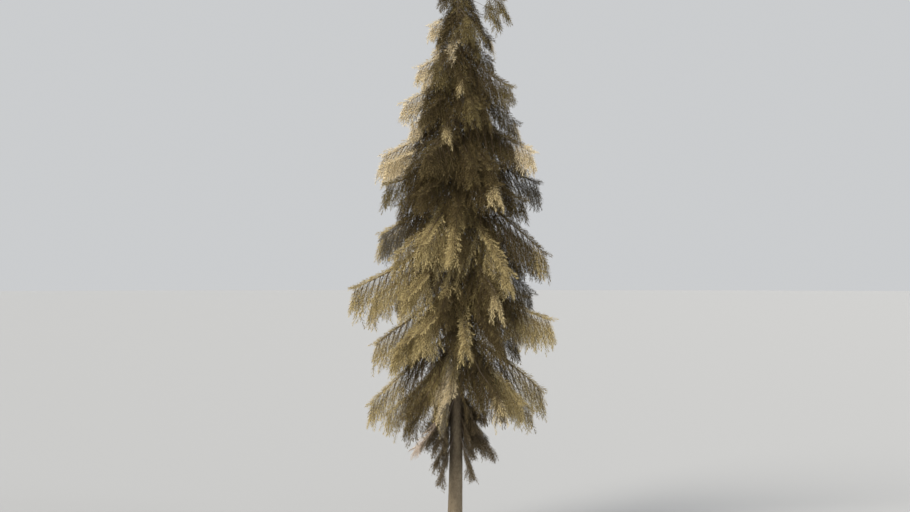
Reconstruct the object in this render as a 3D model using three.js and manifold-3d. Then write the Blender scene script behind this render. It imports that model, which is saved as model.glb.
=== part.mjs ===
// Spruce tree rooted in the ground: a tapering trunk, whorls of drooping boughs, and the needle foliage
// that each bough carries. Millimetres, +Z up. The origin is the middle of the flat cut under the trunk.
// Seen from -Y, left is -X and right is +X.
import * as THREE from 'three';
import { mergeVertices } from 'three/addons/utils/BufferGeometryUtils.js';
import Module from 'manifold-3d';

const wasm = await Module();
wasm.setup();

// Trunk sizes
const TREE_HEIGHT = 12200;
const TRUNK_TOP = 11480; // where the wood ends and the leader's own shoot starts
const TRUNK_RADIUS = 158; // at the ground, without the root flare
const TRUNK_TAPER = 0.92; // exponent of the taper: 1 is a straight cone
const TRUNK_SWEEP = 70; // how far the top stands to the right of the foot
const TRUNK_SIDES = 15;
const TRUNK_HEIGHTS = [0, 70, 190, 420, 900, 2200, 4000, 6000, 8000, 9800, 10800, TRUNK_TOP];
const FLARE_RADIUS = 78; // added at the ground
const FLARE_HEIGHT = 230; // in which the flare falls to a third
const ROOT_LOBES = 5;
const ROOT_LOBE_DEPTH = 0.34; // share of the flare that comes and goes around the foot

// Whorls from the top down: height on the trunk, then [reach, drop] of the tips to the left and to the right
const WHORLS = [
  { height: 11230, left: [330, 250], right: [925, 410] },
  { height: 10780, left: [540, 380], right: [680, 700] },
  { height: 10080, left: [810, 460], right: [1090, 930] },
  { height: 9380, left: [1100, 560], right: [1230, 970] },
  { height: 8600, left: [1580, 820], right: [1510, 840] },
  { height: 7900, left: [1460, 740], right: [1690, 760] },
  { height: 7150, left: [1640, 1050], right: [1800, 1450] },
  { height: 6450, left: [2150, 1300], right: [1540, 1480] },
  { height: 5400, left: [1740, 1400], right: [1890, 950] },
  { height: 4350, left: [1800, 1560], right: [1800, 1330] },
];
const SIDES = ['right', 'back', 'left', 'front']; // a quarter turn apart, right at azimuth 0
const TOP_WHORL_SIDES = ['right', 'back', 'left']; // the youngest whorl has three shoots
const WHORL_TWIST = Math.PI / 8; // whorls turn this far one way and the other by turns
const AZIMUTH_PLAY = 0.1; // radians either way
const HEIGHT_PLAY = 90; // either way, up and down the trunk
const SAG_RANGE = [-0.35, 0.45]; // under 0 arches over and hangs, over 0 sweeps out level at the tip
const SIDE_BEND = 0.09; // share of the reach that a tip swings sideways
const LIMBED_WHORLS = 4; // the lowest whorls have bare limbs between the trunk and their foliage
const LIMB_SHARE = 0.28; // of the reach

// Dead boughs under the crown: bare twigs on a dry limb
const DEAD_BOUGHS = [
  { side: 'left', height: 3050, reach: 900, drop: 1230, turn: 0.12 },
  { side: 'right', height: 2780, reach: 770, drop: 860, turn: -0.2 },
  { side: 'front', height: 2420, reach: 640, drop: 1040, turn: -0.55 },
];

// Limbs and twigs
const CLEARANCE = 0.3; // between a limb or stem and what carries it
const LIMB_RADIUS = 5; // of a bough with no reach
const LIMB_RADIUS_SHARE = 0.0155; // added for each millimetre of reach
const LIMB_TIP_SHARE = 0.16; // of the radius at the trunk
const LIMB_SIDES = 5;
const LIMB_STEPS = 2;
const STEM_SIDES = 3;
const STEM_STEPS = 3;
const STEM_END = 0.8; // of the reach
const TIP_SPRAY_ROOT = 0.08; // of the reach, by which the last spray is sunk in the stem
const TWIG_SIDES = 3;
const TWIGS = 4; // on each bough, left and right by turns
const SMALL_TWIGS = 3; // on a bough of a small reach
const SMALL_REACH = 1000;
const FIRST_TWIG = 0.12; // of the reach, where the foliage meets the trunk
const LAST_TWIG = 0.8; // of the reach
const TWIG_ANGLES = [1.25, 0.8]; // from the stem, at the foot and the tip of the foliage
const TWIG_TILT = [0.1, 0.35]; // downwards
const TWIG_LENGTH = 100; // of a bough with no reach
const TWIG_LENGTH_SHARE = 0.21; // added for each millimetre of reach
const TWIG_RADIUS_SHARE = 0.6; // of the stem's radius where the twig leaves it

// Cores: the dense needles close to a stem, a ridge with a jagged hem on both sides of it
const CORE_STEPS = 6;
const CORE_END = 0.86; // of the reach
const CORE_RIDGE = 2.6; // height over the stem's middle, in stem radii
const CORE_WIDTH = [90, 0.22]; // from the stem to a hem, and what each millimetre of reach adds
const CORE_DEPTH = [160, 0.28]; // from the stem down to a hem, likewise
const CORE_NOTCH = 0.66; // of the hem's width and depth between two of its points
const CORE_GAP = 0.03; // of the reach, between a bare limb and the core
const CORE_ENDS = 0.08; // of the width and depth at both ends

// Sprays of needles: toothed blades with a ridge, which hang from the twigs
const SPRAY_ROOTS = [0.5, 0.92]; // of the twig's length
const SPRAY_TEETH = [ // on each side, from the root: shares of the spray's length and width
  { point: [0.46, 0.5], notch: [0.33, 0.17] },
  { point: [0.78, 0.36], notch: [0.64, 0.1] },
];
const SPRAY_PEAK = 0.2; // of the spray's length, where it is thickest
const SPRAY_LENGTH = 260; // of a bough with no reach
const SPRAY_LENGTH_SHARE = 0.4; // added for each millimetre of reach
const SPRAY_TIP_SHARE = 0.66; // of that length, close to the bough's tip
const SPRAY_SIZE_PLAY = [0.88, 1.12];
const SPRAY_WIDTH_SHARE = 0.56; // of the spray's length
const SPRAY_THICKNESS_SHARE = 0.03; // of the spray's length
const SPRAY_HANG = [0.7, 1.2]; // downwards, against the twig's and the bough's directions
const SPRAY_LEAN = 0.55; // along the bough
const SPRAY_ROLL = 0.15; // so that each spray lies over the next one outwards
const SIZES = [1, 0.85, 0.7, 0.55, 0.42]; // tried in turn until a spray or a hem keeps to its bough's space
const SPACE_MARGIN = 40; // between the spaces of two boughs
const SPACE_DROP = 0.14; // of the reach, by which the middle of a bough's space lies under its stem
const HEIGHT_WEIGHT = 0.7; // of height against arc in measuring which bough is near
const REACH_LIMIT = 1.03; // of the reach, past which no spray stands out
const TRUNK_MARGIN = 25;

// Dry wood of the dead boughs
const DEAD_RADIUS_SCALE = 0.85; // of a live limb's radius
const DEAD_STEPS = 5;
const DEAD_SAG = 0.25;
const DEAD_TWIGS = 11;
const DEAD_TWIG_PLACES = [0.3, 0.92]; // first and last, of the reach
const DEAD_TWIG_ANGLES = [0.5, 1.0]; // from the limb
const DEAD_TWIG_TILT = [0, 0.6]; // downwards
const DEAD_TWIG_LENGTHS = [0.5, 0.25]; // of the reach, at the trunk and at the tip
const DEAD_TWIG_RADIUS_SHARE = 0.55; // of the limb's radius where the twig leaves it

// Leader: the shoot that carries the tree's tip
const LEADER_RADIUS = 13;
const LEADER_SPRAYS = 4; // in each tier
const LEADER_ROLL = 0.7; // of the sprays about their own length
const LEADER_TIERS = [ // root as a share of the leader's height, spray length, and rise against 1 outwards
  { root: 0.05, length: 430, rise: -0.25 },
  { root: 0.22, length: 360, rise: 0.25 },
  { root: 0.42, length: 280, rise: 0.8 },
  { root: 0.66, length: 190, rise: 1.7 },
];

const BARK = new THREE.MeshStandardMaterial({ color: 0x6f6250, roughness: 0.9, metalness: 0 });
const DEAD_WOOD = new THREE.MeshStandardMaterial({ color: 0x7d6f5f, roughness: 0.95, metalness: 0 });
const NEEDLES_DARK = new THREE.MeshStandardMaterial({ color: 0x4a3f22, roughness: 0.8, metalness: 0 });
const NEEDLES_LIGHT = new THREE.MeshStandardMaterial({ color: 0x80724a, roughness: 0.8, metalness: 0 });

const UP = new THREE.Vector3(0, 0, 1);
const lerp = THREE.MathUtils.lerp;

// A repeatable fraction from 0 to 1 for one seed and one trait.
function chance(seed, trait) {
  const wave = Math.sin(seed * 12.9898 + trait * 78.233) * 43758.5453;
  return wave - Math.floor(wave);
}

// A repeatable value between low and high.
function vary(seed, trait, low, high) {
  return lerp(low, high, chance(seed, trait));
}

// Trunk radius without the root flare.
function trunkRadius(z) {
  return TRUNK_RADIUS * (1 - z / TREE_HEIGHT) ** TRUNK_TAPER;
}

// How far the trunk's middle stands to the right at a height.
function trunkSweep(z) {
  return TRUNK_SWEEP * Math.sin((Math.PI / 2) * Math.min(1, z / (TREE_HEIGHT / 2)));
}

// The trunk as a turned profile whose foot is spread into root lobes; extra makes it fatter all over.
function trunkGeometry(extra = 0) {
  const profile = TRUNK_HEIGHTS.map((z) => new THREE.Vector2(trunkRadius(z) + extra, z));
  const closed = [new THREE.Vector2(0, 0), ...profile, new THREE.Vector2(0, TRUNK_TOP)];
  const turned = new THREE.LatheGeometry(closed, TRUNK_SIDES).rotateX(Math.PI / 2);
  const places = turned.getAttribute('position');
  for (let i = 0; i < places.count; i++) {
    const place = new THREE.Vector3().fromBufferAttribute(places, i);
    const spread = Math.hypot(place.x, place.y);
    if (spread > 0) {
      const lobe = 1 - ROOT_LOBE_DEPTH * (1 - Math.cos(ROOT_LOBES * Math.atan2(place.y, place.x)));
      const flare = FLARE_RADIUS * lobe * 3 ** (-place.z / FLARE_HEIGHT);
      place.multiply(new THREE.Vector3(1 + flare / spread, 1 + flare / spread, 1));
    }
    places.setXYZ(i, place.x + trunkSweep(place.z), place.y, place.z);
  }
  return turned;
}

// A closed geometry as a solid.
function solidOf(geometry) {
  const bare = geometry.clone().deleteAttribute('normal').deleteAttribute('uv');
  const merged = mergeVertices(bare, 1e-3);
  return new wasm.Manifold(new wasm.Mesh({
    numProp: 3,
    vertProperties: merged.getAttribute('position').array,
    triVerts: new Uint32Array(merged.index.array),
  }));
}

// A solid as a geometry: its largest body only, so that loose scraps go and sealed hollows are filled.
function geometryOf(solid) {
  const bodies = solid.decompose();
  const largest = bodies.reduce((a, b) => (b.volume() > a.volume() ? b : a));
  const mesh = largest.getMesh();
  const geometry = new THREE.BufferGeometry();
  geometry.setAttribute('position', new THREE.BufferAttribute(mesh.vertProperties.slice(), 3));
  geometry.setIndex(new THREE.BufferAttribute(mesh.triVerts.slice(), 1));
  geometry.computeVertexNormals();
  return geometry;
}

function fuse(geometries) {
  return wasm.Manifold.union(geometries.map(solidOf));
}

// One bough: its place on the trunk and the line that it follows. The line lies in the bough's own frame,
// which has X outwards and Z up and starts on the trunk's middle.
class Bough {
  // The traits are name, seed, azimuth, height, reach, drop, sag, bend, and whether it has a bare limb.
  constructor(traits) {
    Object.assign(this, traits);
    this.radius = LIMB_RADIUS + LIMB_RADIUS_SHARE * this.reach;
  }

  heightAt(share) {
    return -this.drop * (share + this.sag * share * (1 - share));
  }

  pointAt(share) {
    return new THREE.Vector3(this.reach * share, this.bend * this.reach * share ** 2, this.heightAt(share));
  }

  // The line's direction, its level side direction, and the direction across both.
  frameAt(share) {
    const step = 0.002;
    const along = this.pointAt(share + step).sub(this.pointAt(share - step)).normalize();
    const side = new THREE.Vector3().crossVectors(UP, along).normalize();
    return { along, side, across: new THREE.Vector3().crossVectors(side, along) };
  }

  radiusAt(share) {
    return this.radius * lerp(1, LIMB_TIP_SHARE, share);
  }

  // How far a point around the trunk is from the middle of this bough's space.
  distanceTo({ spread, azimuth, height }) {
    const share = Math.min(1, spread / this.reach);
    const turn = azimuth - this.azimuth - this.bend * share;
    const arc = spread * Math.atan2(Math.sin(turn), Math.cos(turn));
    const rise = HEIGHT_WEIGHT * (height - this.height - this.heightAt(share) + SPACE_DROP * this.reach);
    return Math.hypot(arc, rise, Math.max(0, spread - this.reach));
  }

  // A point in the bough's frame as spread, azimuth and height around the trunk's middle.
  aroundTrunk(point) {
    return {
      spread: Math.hypot(point.x, point.y),
      azimuth: this.azimuth + Math.atan2(point.y, point.x),
      height: this.height + point.z,
    };
  }

  // A group at the bough's place on the trunk.
  group() {
    const group = new THREE.Group();
    group.position.set(trunkSweep(this.height), 0, this.height);
    group.rotation.z = this.azimuth;
    return group;
  }

  // The trunk with the clearance around it, in the bough's frame.
  trunkHere() {
    const degrees = THREE.MathUtils.radToDeg(this.azimuth);
    return TRUNK_CLEAR.translate([-trunkSweep(this.height), 0, -this.height]).rotate([0, 0, -degrees]);
  }
}

// A round limb along a bough's line between two shares of its reach.
function limbGeometry(bough, from, to, sides, steps, radiusScale = 1) {
  const limb = new THREE.CylinderGeometry(
    bough.radiusAt(to) * radiusScale, bough.radiusAt(from) * radiusScale, 1, sides, steps);
  const places = limb.getAttribute('position');
  for (let i = 0; i < places.count; i++) {
    const share = lerp(from, to, places.getY(i) + 0.5);
    const { side, across } = bough.frameAt(share);
    const place = bough.pointAt(share);
    place.addScaledVector(side, places.getX(i)).addScaledVector(across, places.getZ(i));
    places.setXYZ(i, place.x, place.y, place.z);
  }
  return limb;
}

// A straight three-sided twig that tapers to a point.
function twigGeometry(root, direction, length, radius) {
  const twig = new THREE.ConeGeometry(radius, length, TWIG_SIDES).translate(0, length / 2, 0);
  twig.applyQuaternion(new THREE.Quaternion().setFromUnitVectors(new THREE.Vector3(0, 1, 0), direction));
  return twig.translate(root.x, root.y, root.z);
}

// Outline of a spray of unit length and width: root, teeth of one side, tip, and the teeth of the other side.
function sprayOutline() {
  const half = SPRAY_TEETH.flatMap(({ point, notch }) => [point, notch]).map((p) => new THREE.Vector2(...p));
  const mirrored = half.map((p) => new THREE.Vector2(p.x, -p.y));
  return [new THREE.Vector2(0, 0), ...mirrored, new THREE.Vector2(1, 0), ...half.reverse()];
}

const SPRAY_OUTLINE = sprayOutline();
const SPRAY_FACES = THREE.ShapeUtils.triangulateShape(SPRAY_OUTLINE, []);

// Where the points of a spray lie. Its direction and its width direction span the blade.
function sprayPoints({ root, direction, width, length }) {
  return SPRAY_OUTLINE.map((p) => root.clone()
    .addScaledVector(direction, p.x * length)
    .addScaledVector(width, p.y * SPRAY_WIDTH_SHARE * length));
}

// A toothed blade: flat below, and raised to a peak over its middle.
function sprayGeometry(spray) {
  const { root, direction, width, length } = spray;
  const normal = new THREE.Vector3().crossVectors(direction, width);
  const thickness = SPRAY_THICKNESS_SHARE * length;
  const rim = sprayPoints(spray);
  const peak = root.clone().addScaledVector(direction, SPRAY_PEAK * length)
    .addScaledVector(normal, thickness);
  const triangles = SPRAY_FACES.map(([a, b, c]) => [rim[a], rim[c], rim[b]]);
  rim.forEach((p, i) => triangles.push([p, rim[(i + 1) % rim.length], peak]));
  return new THREE.BufferGeometry().setFromPoints(triangles.flat());
}

// Whether every point keeps to its bough's own space, off the trunk and off the bough's bare limb.
function keepsToItsSpace(bough, points, limbEnd) {
  return points.every((point) => {
    const place = bough.aroundTrunk(point);
    const own = bough.distanceTo(place) + SPACE_MARGIN;
    const offTrunk = place.spread > trunkRadius(place.height) + TRUNK_MARGIN;
    const offLimb = point.x >= limbEnd.x || Math.abs(point.y) > 3 * bough.radius;
    const withinReach = place.spread < REACH_LIMIT * bough.reach;
    const nearest = boughs.every((other) => other === bough || other.distanceTo(place) > own);
    return offTrunk && offLimb && withinReach && nearest;
  });
}

// The steps of a core from a share of the reach outwards, each with its ridge and its two hems.
// Points and notches of the hem come by turns, as large as the bough's own space lets them be.
function coreSteps(bough, from) {
  const [width, depth] = [CORE_WIDTH, CORE_DEPTH].map(([base, share]) => base + share * bough.reach);
  return Array.from({ length: CORE_STEPS + 1 }, (_, step) => {
    const place = step / CORE_STEPS;
    const share = lerp(from, CORE_END, place);
    const swell = Math.max(CORE_ENDS, Math.sin(Math.PI * place ** 0.8) ** 0.6);
    const { side } = bough.frameAt(share);
    const middle = bough.pointAt(share);
    const hemsAt = (size) => [1, -1].map((hand) => middle.clone()
      .addScaledVector(side, hand * width * size)
      .addScaledVector(UP, -depth * size));
    const tried = SIZES.map((size) => hemsAt(size * swell * (step % 2 ? 1 : CORE_NOTCH)));
    const hems = tried.find((points) => keepsToItsSpace(bough, points, middle)) ?? hemsAt(CORE_ENDS);
    const ridgeHeight = CORE_RIDGE * bough.radiusAt(share) * Math.min(1, 2 * swell);
    return { middle, hems, ridge: middle.clone().addScaledVector(UP, ridgeHeight) };
  });
}

// A three-sided body over the steps of a core.
function coreGeometry(steps) {
  const core = new THREE.CylinderGeometry(1, 1, 1, 3, CORE_STEPS);
  const places = core.getAttribute('position');
  for (let i = 0; i < places.count; i++) {
    const { middle, hems, ridge } = steps[Math.round((places.getY(i) + 0.5) * CORE_STEPS)];
    const across = Math.round(places.getX(i));
    const onAxis = across === 0 && places.getZ(i) < 0.5;
    const place = onAxis ? middle : [hems[0], ridge, hems[1]][across + 1];
    places.setXYZ(i, place.x, place.y, place.z);
  }
  return core;
}

// The twigs of one bough, left and right of its stem by turns.
function twigsOf(bough, from) {
  const twigs = [];
  const count = bough.reach < SMALL_REACH ? SMALL_TWIGS : TWIGS;
  for (let i = 0; i < count; i++) {
    const seed = bough.seed * 31 + i;
    const place = (i + vary(seed, 1, 0.2, 0.8)) / count;
    const share = lerp(Math.max(from + 0.02, FIRST_TWIG), LAST_TWIG, place);
    const { along, side } = bough.frameAt(share);
    const hand = i % 2 ? 1 : -1;
    const angle = lerp(...TWIG_ANGLES, place) * hand;
    const direction = along.clone().multiplyScalar(Math.cos(angle)).addScaledVector(side, Math.sin(angle));
    direction.addScaledVector(UP, -vary(seed, 2, ...TWIG_TILT)).normalize();
    const size = lerp(1, SPRAY_TIP_SHARE, place) * vary(seed, 3, ...SPRAY_SIZE_PLAY);
    const length = (TWIG_LENGTH + TWIG_LENGTH_SHARE * bough.reach) * size;
    const radius = TWIG_RADIUS_SHARE * bough.radiusAt(share);
    twigs.push({ seed, hand, root: bough.pointAt(share), along, direction, length, radius, size });
  }
  return twigs;
}

// The sprays that hang from one twig, each as large as the bough's own space lets it be.
function spraysOf(bough, twig, limbEnd) {
  const sprays = [];
  SPRAY_ROOTS.forEach((rootShare, i) => {
    const root = twig.root.clone().addScaledVector(twig.direction, rootShare * twig.length);
    const direction = twig.direction.clone().addScaledVector(twig.along, SPRAY_LEAN);
    direction.addScaledVector(UP, -vary(twig.seed, 5 + i, ...SPRAY_HANG)).normalize();
    const normal = new THREE.Vector3().crossVectors(direction, twig.along).normalize();
    const width = new THREE.Vector3().crossVectors(normal, direction);
    width.applyAxisAngle(direction, SPRAY_ROLL * twig.hand);
    const full = (SPRAY_LENGTH + SPRAY_LENGTH_SHARE * bough.reach) * twig.size;
    const tried = SIZES.map((size) => ({ root, direction, width, length: full * size }));
    const kept = tried.find((spray) => keepsToItsSpace(bough, sprayPoints(spray), limbEnd));
    if (kept) {
      sprays.push(kept);
    }
  });
  return sprays;
}

// The spray that carries on from a bough's stem to its tip.
function tipSpray(bough) {
  const root = bough.pointAt(STEM_END - TIP_SPRAY_ROOT);
  const reach = bough.pointAt(1).sub(root);
  const direction = reach.clone().normalize();
  const width = new THREE.Vector3().crossVectors(UP, direction).normalize();
  return { root, direction, width, length: reach.length() };
}

// A bough's foliage: the stem from a share of the reach outwards, its twigs and their sprays, all fused.
function foliageSolid(bough, from) {
  const limbEnd = bough.pointAt(from);
  const coreStart = Math.max(from + CORE_GAP, (trunkRadius(bough.height) + TRUNK_MARGIN) / bough.reach);
  const shapes = [
    limbGeometry(bough, from, STEM_END, STEM_SIDES, STEM_STEPS),
    coreGeometry(coreSteps(bough, coreStart)),
    sprayGeometry(tipSpray(bough)),
  ];
  for (const twig of twigsOf(bough, from)) {
    const sprays = spraysOf(bough, twig, limbEnd);
    if (sprays.length) {
      shapes.push(twigGeometry(twig.root, twig.direction, twig.length, twig.radius));
      shapes.push(...sprays.map(sprayGeometry));
    }
  }
  return fuse(shapes);
}

// A dead bough: a dry limb with bare twigs.
function deadBoughSolid(bough) {
  const shapes = [limbGeometry(bough, 0, 1, STEM_SIDES, DEAD_STEPS, DEAD_RADIUS_SCALE)];
  for (let i = 0; i < DEAD_TWIGS; i++) {
    const seed = bough.seed * 17 + i;
    const share = lerp(...DEAD_TWIG_PLACES, (i + vary(seed, 1, 0, 0.8)) / DEAD_TWIGS);
    const { along, side } = bough.frameAt(share);
    const angle = vary(seed, 2, ...DEAD_TWIG_ANGLES) * (i % 2 ? 1 : -1);
    const direction = along.multiplyScalar(Math.cos(angle)).addScaledVector(side, Math.sin(angle));
    direction.addScaledVector(UP, -vary(seed, 3, ...DEAD_TWIG_TILT)).normalize();
    const length = bough.reach * lerp(...DEAD_TWIG_LENGTHS, share);
    const radius = DEAD_TWIG_RADIUS_SHARE * DEAD_RADIUS_SCALE * bough.radiusAt(share);
    shapes.push(twigGeometry(bough.pointAt(share), direction, length, radius));
  }
  return fuse(shapes);
}

// The leader's shoot with tiers of short sprays that rise around it, in a frame on the trunk's end.
function leaderSolid() {
  const height = TREE_HEIGHT - TRUNK_TOP;
  const shoot = new THREE.ConeGeometry(LEADER_RADIUS, height - CLEARANCE, LIMB_SIDES).rotateX(Math.PI / 2);
  const shapes = [shoot.translate(0, 0, (height + CLEARANCE) / 2)];
  LEADER_TIERS.forEach(({ root, length, rise }, tier) => {
    for (let i = 0; i < LEADER_SPRAYS; i++) {
      const azimuth = ((i + tier / 2) / LEADER_SPRAYS) * 2 * Math.PI;
      const direction = new THREE.Vector3(Math.cos(azimuth), Math.sin(azimuth), rise).normalize();
      const width = new THREE.Vector3().crossVectors(UP, direction).normalize();
      width.applyAxisAngle(direction, LEADER_ROLL);
      shapes.push(sprayGeometry({ root: new THREE.Vector3(0, 0, height * root), direction, width, length }));
    }
  });
  return fuse(shapes);
}

const AZIMUTHS = Object.fromEntries(SIDES.map((side, i) => [side, (i * Math.PI) / 2]));
const whorlNumber = (index) => WHORLS.length - index; // counted from the lowest

// The boughs of one whorl. Left and right reach as stated across the view; front and back take their mean.
function whorlBoughs(whorl, index) {
  const twist = index % 2 ? WHORL_TWIST : -WHORL_TWIST;
  const mean = [0, 1].map((i) => (whorl.left[i] + whorl.right[i]) / 2);
  const sides = index === 0 ? TOP_WHORL_SIDES : SIDES;
  return sides.map((side, i) => {
    const seed = 10 * (index + 1) + i;
    const turn = twist + vary(seed, 1, -AZIMUTH_PLAY, AZIMUTH_PLAY);
    const [across, drop] = whorl[side] ?? mean;
    const bend = vary(seed, 4, -SIDE_BEND, SIDE_BEND);
    return new Bough({
      name: `${whorlNumber(index)}_${side}`,
      seed,
      azimuth: AZIMUTHS[side] + turn,
      height: whorl.height + vary(seed, 2, -HEIGHT_PLAY, HEIGHT_PLAY),
      reach: whorl[side] ? across / Math.cos(turn + bend) : across,
      drop,
      sag: vary(seed, 3, ...SAG_RANGE),
      bend,
      limbed: index >= WHORLS.length - LIMBED_WHORLS,
    });
  });
}

function deadBough({ side, height, reach, drop, turn }, index) {
  const azimuth = AZIMUTHS[side] + turn;
  return new Bough({ name: side, seed: 200 + index, azimuth, height, reach, drop, sag: DEAD_SAG, bend: 0 });
}

const TRUNK_CLEAR = solidOf(trunkGeometry(CLEARANCE));
const liveBoughs = WHORLS.flatMap(whorlBoughs);
const deadBoughs = DEAD_BOUGHS.map(deadBough);
const boughs = [...liveBoughs, ...deadBoughs];

const tree = new THREE.Group();

function addMesh(parent, name, geometry, material) {
  const mesh = new THREE.Mesh(geometry, material);
  mesh.name = name;
  parent.add(mesh);
}

addMesh(tree, 'trunk', geometryOf(solidOf(trunkGeometry())), BARK);

for (const bough of liveBoughs) {
  const group = bough.group();
  if (bough.limbed) {
    const wood = solidOf(limbGeometry(bough, 0, LIMB_SHARE, LIMB_SIDES, LIMB_STEPS));
    const limb = wood.subtract(bough.trunkHere());
    const gap = (CLEARANCE * LIMB_SHARE) / bough.pointAt(LIMB_SHARE).length();
    addMesh(group, `limb_${bough.name}`, geometryOf(limb), BARK);
    addMesh(group, `foliage_${bough.name}`, geometryOf(foliageSolid(bough, LIMB_SHARE + gap)), NEEDLES_LIGHT);
  } else {
    const foliage = foliageSolid(bough, 0).subtract(bough.trunkHere());
    addMesh(group, `foliage_${bough.name}`, geometryOf(foliage), NEEDLES_DARK);
  }
  tree.add(group);
}

for (const bough of deadBoughs) {
  const group = bough.group();
  const dryWood = deadBoughSolid(bough).subtract(bough.trunkHere());
  addMesh(group, `dead_bough_${bough.name}`, geometryOf(dryWood), DEAD_WOOD);
  tree.add(group);
}

const leader = new THREE.Group();
leader.position.set(trunkSweep(TRUNK_TOP), 0, TRUNK_TOP);
addMesh(leader, 'leader_foliage', geometryOf(leaderSolid()), NEEDLES_DARK);
tree.add(leader);

export default tree;
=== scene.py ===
"""Spruce tree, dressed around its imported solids.

A trunk and boughs with bark, twigs that fork on from the boughs by the rule of the solids, and needles
in sprays. Metres, +Z up. The origin is the middle of the flat cut under the trunk. Seen from -Y, left
is -X and right is +X.
"""

import logging
import math
from collections.abc import Iterator
from contextlib import contextmanager
from dataclasses import dataclass, field, fields, replace
from enum import Enum
from typing import Any

import bpy
import numpy as np
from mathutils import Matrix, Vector


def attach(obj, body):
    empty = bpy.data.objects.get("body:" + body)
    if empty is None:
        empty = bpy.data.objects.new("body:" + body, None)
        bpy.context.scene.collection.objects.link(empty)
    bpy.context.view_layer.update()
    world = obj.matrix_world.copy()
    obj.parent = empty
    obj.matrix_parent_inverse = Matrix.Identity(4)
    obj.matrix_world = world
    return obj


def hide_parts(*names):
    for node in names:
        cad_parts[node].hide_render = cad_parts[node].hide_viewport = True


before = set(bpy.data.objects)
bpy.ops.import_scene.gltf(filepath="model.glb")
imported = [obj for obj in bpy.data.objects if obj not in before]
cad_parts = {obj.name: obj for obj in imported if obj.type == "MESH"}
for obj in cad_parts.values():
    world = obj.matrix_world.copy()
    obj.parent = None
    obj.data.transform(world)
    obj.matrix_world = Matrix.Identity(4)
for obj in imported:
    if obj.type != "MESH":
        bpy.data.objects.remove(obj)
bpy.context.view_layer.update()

Pair = tuple[float, float]
Triple = tuple[float, float, float]
Colour = tuple[float, float, float, float]
Array = np.ndarray
Piece = bpy.types.Object

LOG = logging.getLogger("spruce")
BODY = "root"
UP = np.array((0.0, 0.0, 1.0))
# A hair off the upright, so that it crosses the upright leader too.
NEARLY_UP = np.array((0.001, 0.002, 1.0))
GOLDEN_TURN = math.pi * (3 - math.sqrt(5))
# Mixing numbers of the repeatable variation, the same as for the solids.
SEED_MIX = 12.9898
TRAIT_MIX = 78.233
WAVE_HEIGHT = 43758.5453
# How tones are dealt out: the share that strays, the spread of a turn and its delay on a bough's back.
STRAY_SHARE = 0.05
TURN_SPREAD = 0.06
CREST_DELAY = 0.1


def lerp(low: Any, high: Any, share: Any) -> Any:
    """Return the value at a share of the way from low to high, for numbers or arrays."""
    return low + (high - low) * share


def vary(seed: float, trait: int, low: float, high: float) -> float:
    """Return a repeatable value between low and high for one seed and one trait."""
    wave = math.sin(seed * SEED_MIX + trait * TRAIT_MIX) * WAVE_HEIGHT
    return lerp(low, high, wave - math.floor(wave))


def either_way(seed: float, trait: int, most: float) -> float:
    """Return a repeatable value between -most and most."""
    return vary(seed, trait, -most, most)


def with_length(law: Pair, length: Any) -> Any:
    """Return a first value plus a second one for each metre of length."""
    return law[0] + law[1] * length


def by_turns(order: Array) -> Array:
    """Return -1 for even numbers and 1 for odd ones, for the two sides by turns."""
    return np.where(order % 2, 1, -1)


def unit(vectors: Array) -> Array:
    """Return the vectors at length 1."""
    return vectors / np.linalg.norm(vectors, axis=-1, keepdims=True)


def swing(ahead: Array, aside: Array, angles: Any) -> Array:
    """Return n x 3 vectors, turned from the first ones towards the second by one angle or by n."""
    return ahead * np.cos(angles)[..., None] + aside * np.sin(angles)[..., None]


def spokes(headings: Array, turns: Any) -> Array:
    """Return vectors square to n x 3 headings, turned around them by one angle or by n."""
    across = unit(np.cross(headings, NEARLY_UP))
    return swing(across, np.cross(across, headings), turns)


class Side(Enum):
    """Where a bough of a whorl points, with its quarter turns from +X."""

    RIGHT = 0
    BACK = 1
    LEFT = 2
    FRONT = 3

    @property
    def azimuth(self) -> float:
        """Return its direction around the trunk."""
        return self.value * math.pi / 2


class Tone(Enum):
    """Tones of the needle sprays, with the linear base colour of each. DARK is painted shade, GREY painted
    shade on older boughs, and KHAKI, STRAW and CREAM are painted sunlight over the needles' own olive-brown;
    CREAM also stands for young tips.
    """

    DARK = (0.118, 0.086, 0.034)
    OLIVE = (0.200, 0.155, 0.062)
    KHAKI = (0.500, 0.400, 0.190)
    STRAW = (0.640, 0.520, 0.280)
    CREAM = (0.765, 0.645, 0.420)
    GREY = (0.155, 0.136, 0.102)
    DRY = (0.160, 0.122, 0.068)

    @property
    def rank(self) -> int:
        """Return the tone's place in the list of tones."""
        return list(Tone).index(self)

    @property
    def neighbour(self) -> "Tone":
        """Return the tone that a few sprays among this one take."""
        return {
            Tone.DARK: Tone.OLIVE,
            Tone.OLIVE: Tone.DARK,
            Tone.KHAKI: Tone.OLIVE,
            Tone.STRAW: Tone.KHAKI,
            Tone.CREAM: Tone.STRAW,
            Tone.GREY: Tone.OLIVE,
            Tone.DRY: Tone.DRY,
        }[self]

    @staticmethod
    def let_stray(ranks: Array, rng: np.random.Generator) -> Array:
        """Return ranks of tones with a few changed to those of their neighbours."""
        neighbours = np.array([tone.neighbour.rank for tone in Tone])
        return np.where(rng.uniform(0, 1, len(ranks)) < STRAY_SHARE, neighbours[ranks], ranks)


class Slot(Enum):
    """The record's material slots."""

    BARK = "bark"
    DEAD_WOOD = "dead_wood"
    NEEDLES_UPPER = "needles_upper"
    NEEDLES_LOWER = "needles_lower"


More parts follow.
